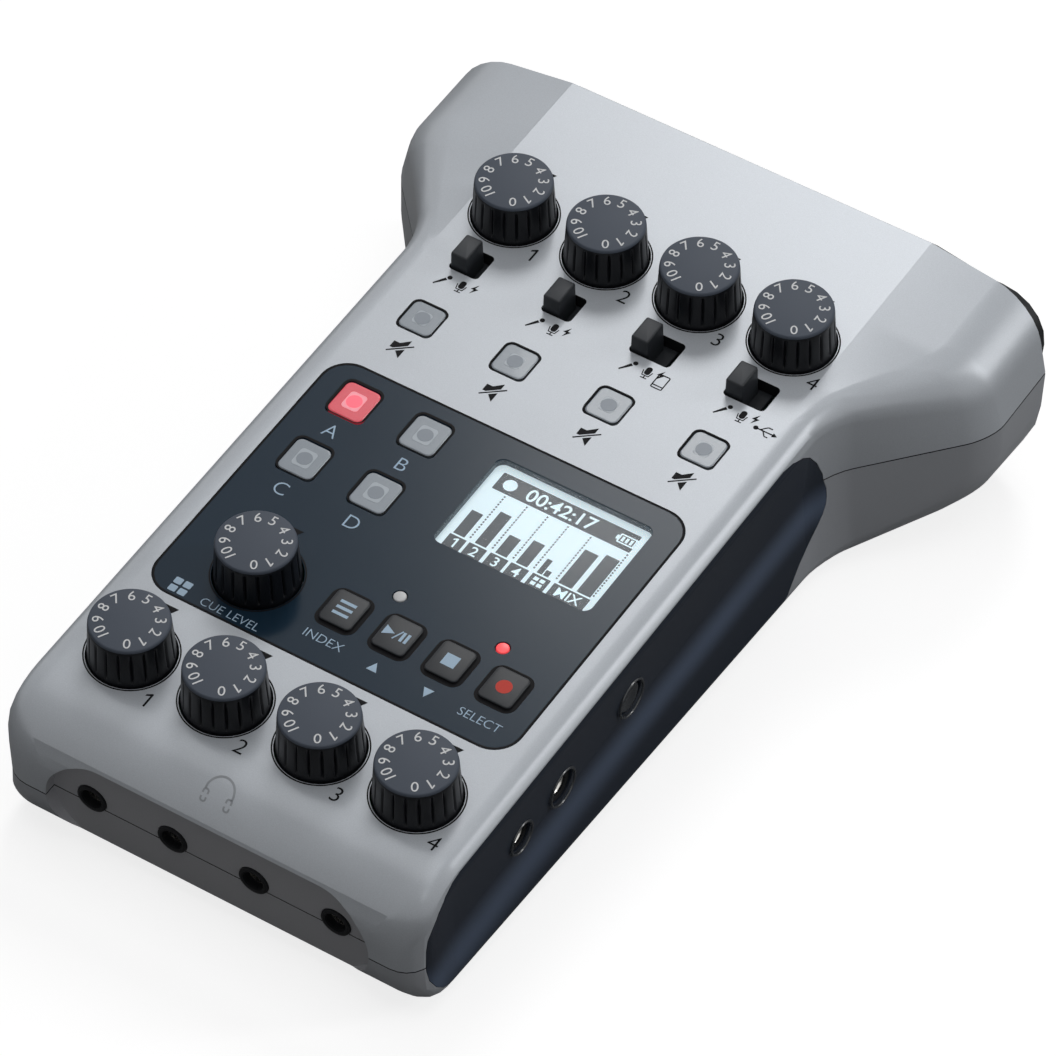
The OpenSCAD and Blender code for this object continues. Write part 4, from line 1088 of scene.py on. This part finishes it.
# %% Rear sockets and band
CORE_PROFILE = [(0, -12), (7.82, -12), (7.82, -0.4), (7.5, 0), (0, 0)]
PIN_PROFILE = [(0, -0.6), (0.85, -0.6), (1.05, 0.1), (1.4, 0.1), (1.4, -0.6), (0, -0.6)]
SOCKET_X, PIN_CIRCLE, PIN_BEARINGS, PIN_STEPS = (-38.4, -12.8, 12.8, 38.4), 4, (-30, 90, 210), 24
core_low, core_high = span([vertex.co / MM for vertex in nodes["xlr_cores"].data.vertices])
core_z = (core_low.z + core_high.z) / 2
cores, pins = bmesh.new(), bmesh.new()
for x in SOCKET_X:
    place = Matrix.Translation((x, core_high.y, core_z)) @ TO_REAR
    join(cores, turned_part(CORE_PROFILE), place)
    for bearing in PIN_BEARINGS:
        spot = (*around(PIN_CIRCLE, bearing), 0)
        join(pins, turned_part(PIN_PROFILE, PIN_STEPS), place @ Matrix.Translation(spot))
add_piece("socket_cores", cores, [lever_plastic], place=GROUND,
          stands_for=["xlr_cores"])
add_piece("socket_pins", pins, [jack_metal], place=GROUND)
FRAME_SIZE, FRAME_CORNER, FRAME_WIDTH, FRAME_DEPTH = (108.2, 34.8), 8.5, 3.0, 2.1
FRAME_Z, FRAME_SUNK, FRAME_TAPER = 20.1, 0.1, 0.0016
band = bmesh.new()
ink_frame(band, (0, 0), FRAME_SIZE, FRAME_CORNER, FRAME_WIDTH, film=FRAME_DEPTH)
for v in band.verts:
    v.co.x *= 1 - FRAME_TAPER * max(0, -v.co.y)
rear_face = max(vertex.co.y for vertex in nodes["rear_panel"].data.vertices) / MM
upright = Matrix.Rotation(radians(90), 4, "X")
band_place = GROUND @ Matrix.Translation((0, rear_face - FRAME_SUNK, FRAME_Z)) @ upright
add_piece("rear_band", band, [black_plastic], place=band_place)
report("rear pieces:", 3)

# %% Finishes of the solids that stay
shafts = [name for name in nodes if "shaft" in name]
stay = {
    black_plastic: ["headphone_jacks", "side_jacks", "xlr_shells", "tact_switches", "slide_switch_bodies"],
    plated_steel: ["usb_ports", "card_slot", "pot_bodies", "battery_contacts"] + shafts,
    screw_steel: ["case_screws"],
    board_mask: ["main_board", "input_board"],
    foot_rubber: ["feet"],
    cell_sleeve: ["batteries"],
    lower_paint: ["battery_cover"],
}
for material, names in stay.items():
    for name in names:
        nodes[name].material_slots[0].material = material
print("solids that stay:", sum(len(names) for names in stay.values()))

# %% [markdown]
# ## Studio
# A pale floor, one large soft light overhead, a smaller one behind that the panel mirrors as a sheen, a
# strip at the right rear for the edges, and a weak fill from the front. The background is white for the
# camera and for reflections.

# %% Floor
FLOOR_HALF, FLOOR_GREY, FLOOR_GLOW, FLOOR_DIM = 4, 0.40, 0.79, 0.26


def rays(tree, *kinds):
    """1 for rays of the given kinds, such as those to the camera, and 0 for others."""
    path = add_node(tree, "LightPath")
    seen = 0.0
    for kind in kinds:
        seen = math_node(tree, "MAXIMUM", seen, path.outputs[f"Is {kind} Ray"])
    return seen


def diffuse(tree, grey):
    return add_node(tree, "BsdfDiffuse", Color=(grey, grey, grey, 1)).outputs[0]


floor_mesh = bpy.data.meshes.new("floor")
floor_bm = bmesh.new()
bmesh.ops.create_grid(floor_bm, x_segments=1, y_segments=1, size=FLOOR_HALF)
floor_bm.to_mesh(floor_mesh)
floor_bm.free()
floor = new_object("floor", floor_mesh)
floor_paint = bpy.data.materials.new("floor_paint")
floor_paint.use_nodes = True
tree = floor_paint.node_tree
tree.nodes.clear()
glow = add_node(tree, "Emission", Strength=FLOOR_GLOW).outputs[0]
pale = add_node(tree, "AddShader", diffuse(tree, FLOOR_GREY), glow).outputs[0]
seen = rays(tree, "Camera", "Transmission")
chosen = add_node(tree, "MixShader", seen, diffuse(tree, FLOOR_DIM), pale).outputs[0]
from_below = add_node(tree, "NewGeometry").outputs["Backfacing"]
clear = add_node(tree, "BsdfTransparent").outputs[0]
two_sided = add_node(tree, "MixShader", from_below, chosen, clear).outputs[0]
add_node(tree, "OutputMaterial", Surface=two_sided)
floor_mesh.materials.append(floor_paint)
print("floor:", 2 * FLOOR_HALF, "metres wide")

# %% World and lights
SKY_SEEN, SKY_AMBIENT = 0.9, 0.1
AIM = Vector((0, 0, 0.03))
LIGHTS = {
    "overhead_panel": ((0, -0.05, 1.25), (1.2, 1.0), 4.6),
    "sheen_panel": ((-0.28, 0.71, 0.88), (0.36, 0.36), 3.0),
    "edge_strip": ((0.83, 0.57, 0.46), (0.15, 0.5), 2.2),
    "front_fill": ((0.42, -0.75, 0.85), (0.25, 0.25), 0.45),
}
world = bpy.data.worlds.new("studio")
bpy.context.scene.world = world
world.use_nodes = True
tree = world.node_tree
seen = rays(tree, "Camera", "Glossy", "Transmission")
strength = math_node(tree, "MULTIPLY_ADD", seen, SKY_SEEN, SKY_AMBIENT)
feed(tree, tree.nodes["Background"], Color=(1, 1, 1, 1), Strength=strength)
for name, (spot, size, power) in LIGHTS.items():
    data = bpy.data.lights.new(name, "AREA")
    data.shape = "RECTANGLE"
    data.size, data.size_y = size
    data.energy = power
    light = new_object(name, data)
    light.location = spot
    light.rotation_euler = (AIM - Vector(spot)).to_track_quat("-Z", "Y").to_euler()
bpy.context.scene.view_settings.view_transform = "Standard"
print("lights:", len(bpy.data.lights))

# %% [markdown]
# ## Piece count
# The number of pieces made is printed.

# %% Finish
print("pieces:", len(made_pieces))
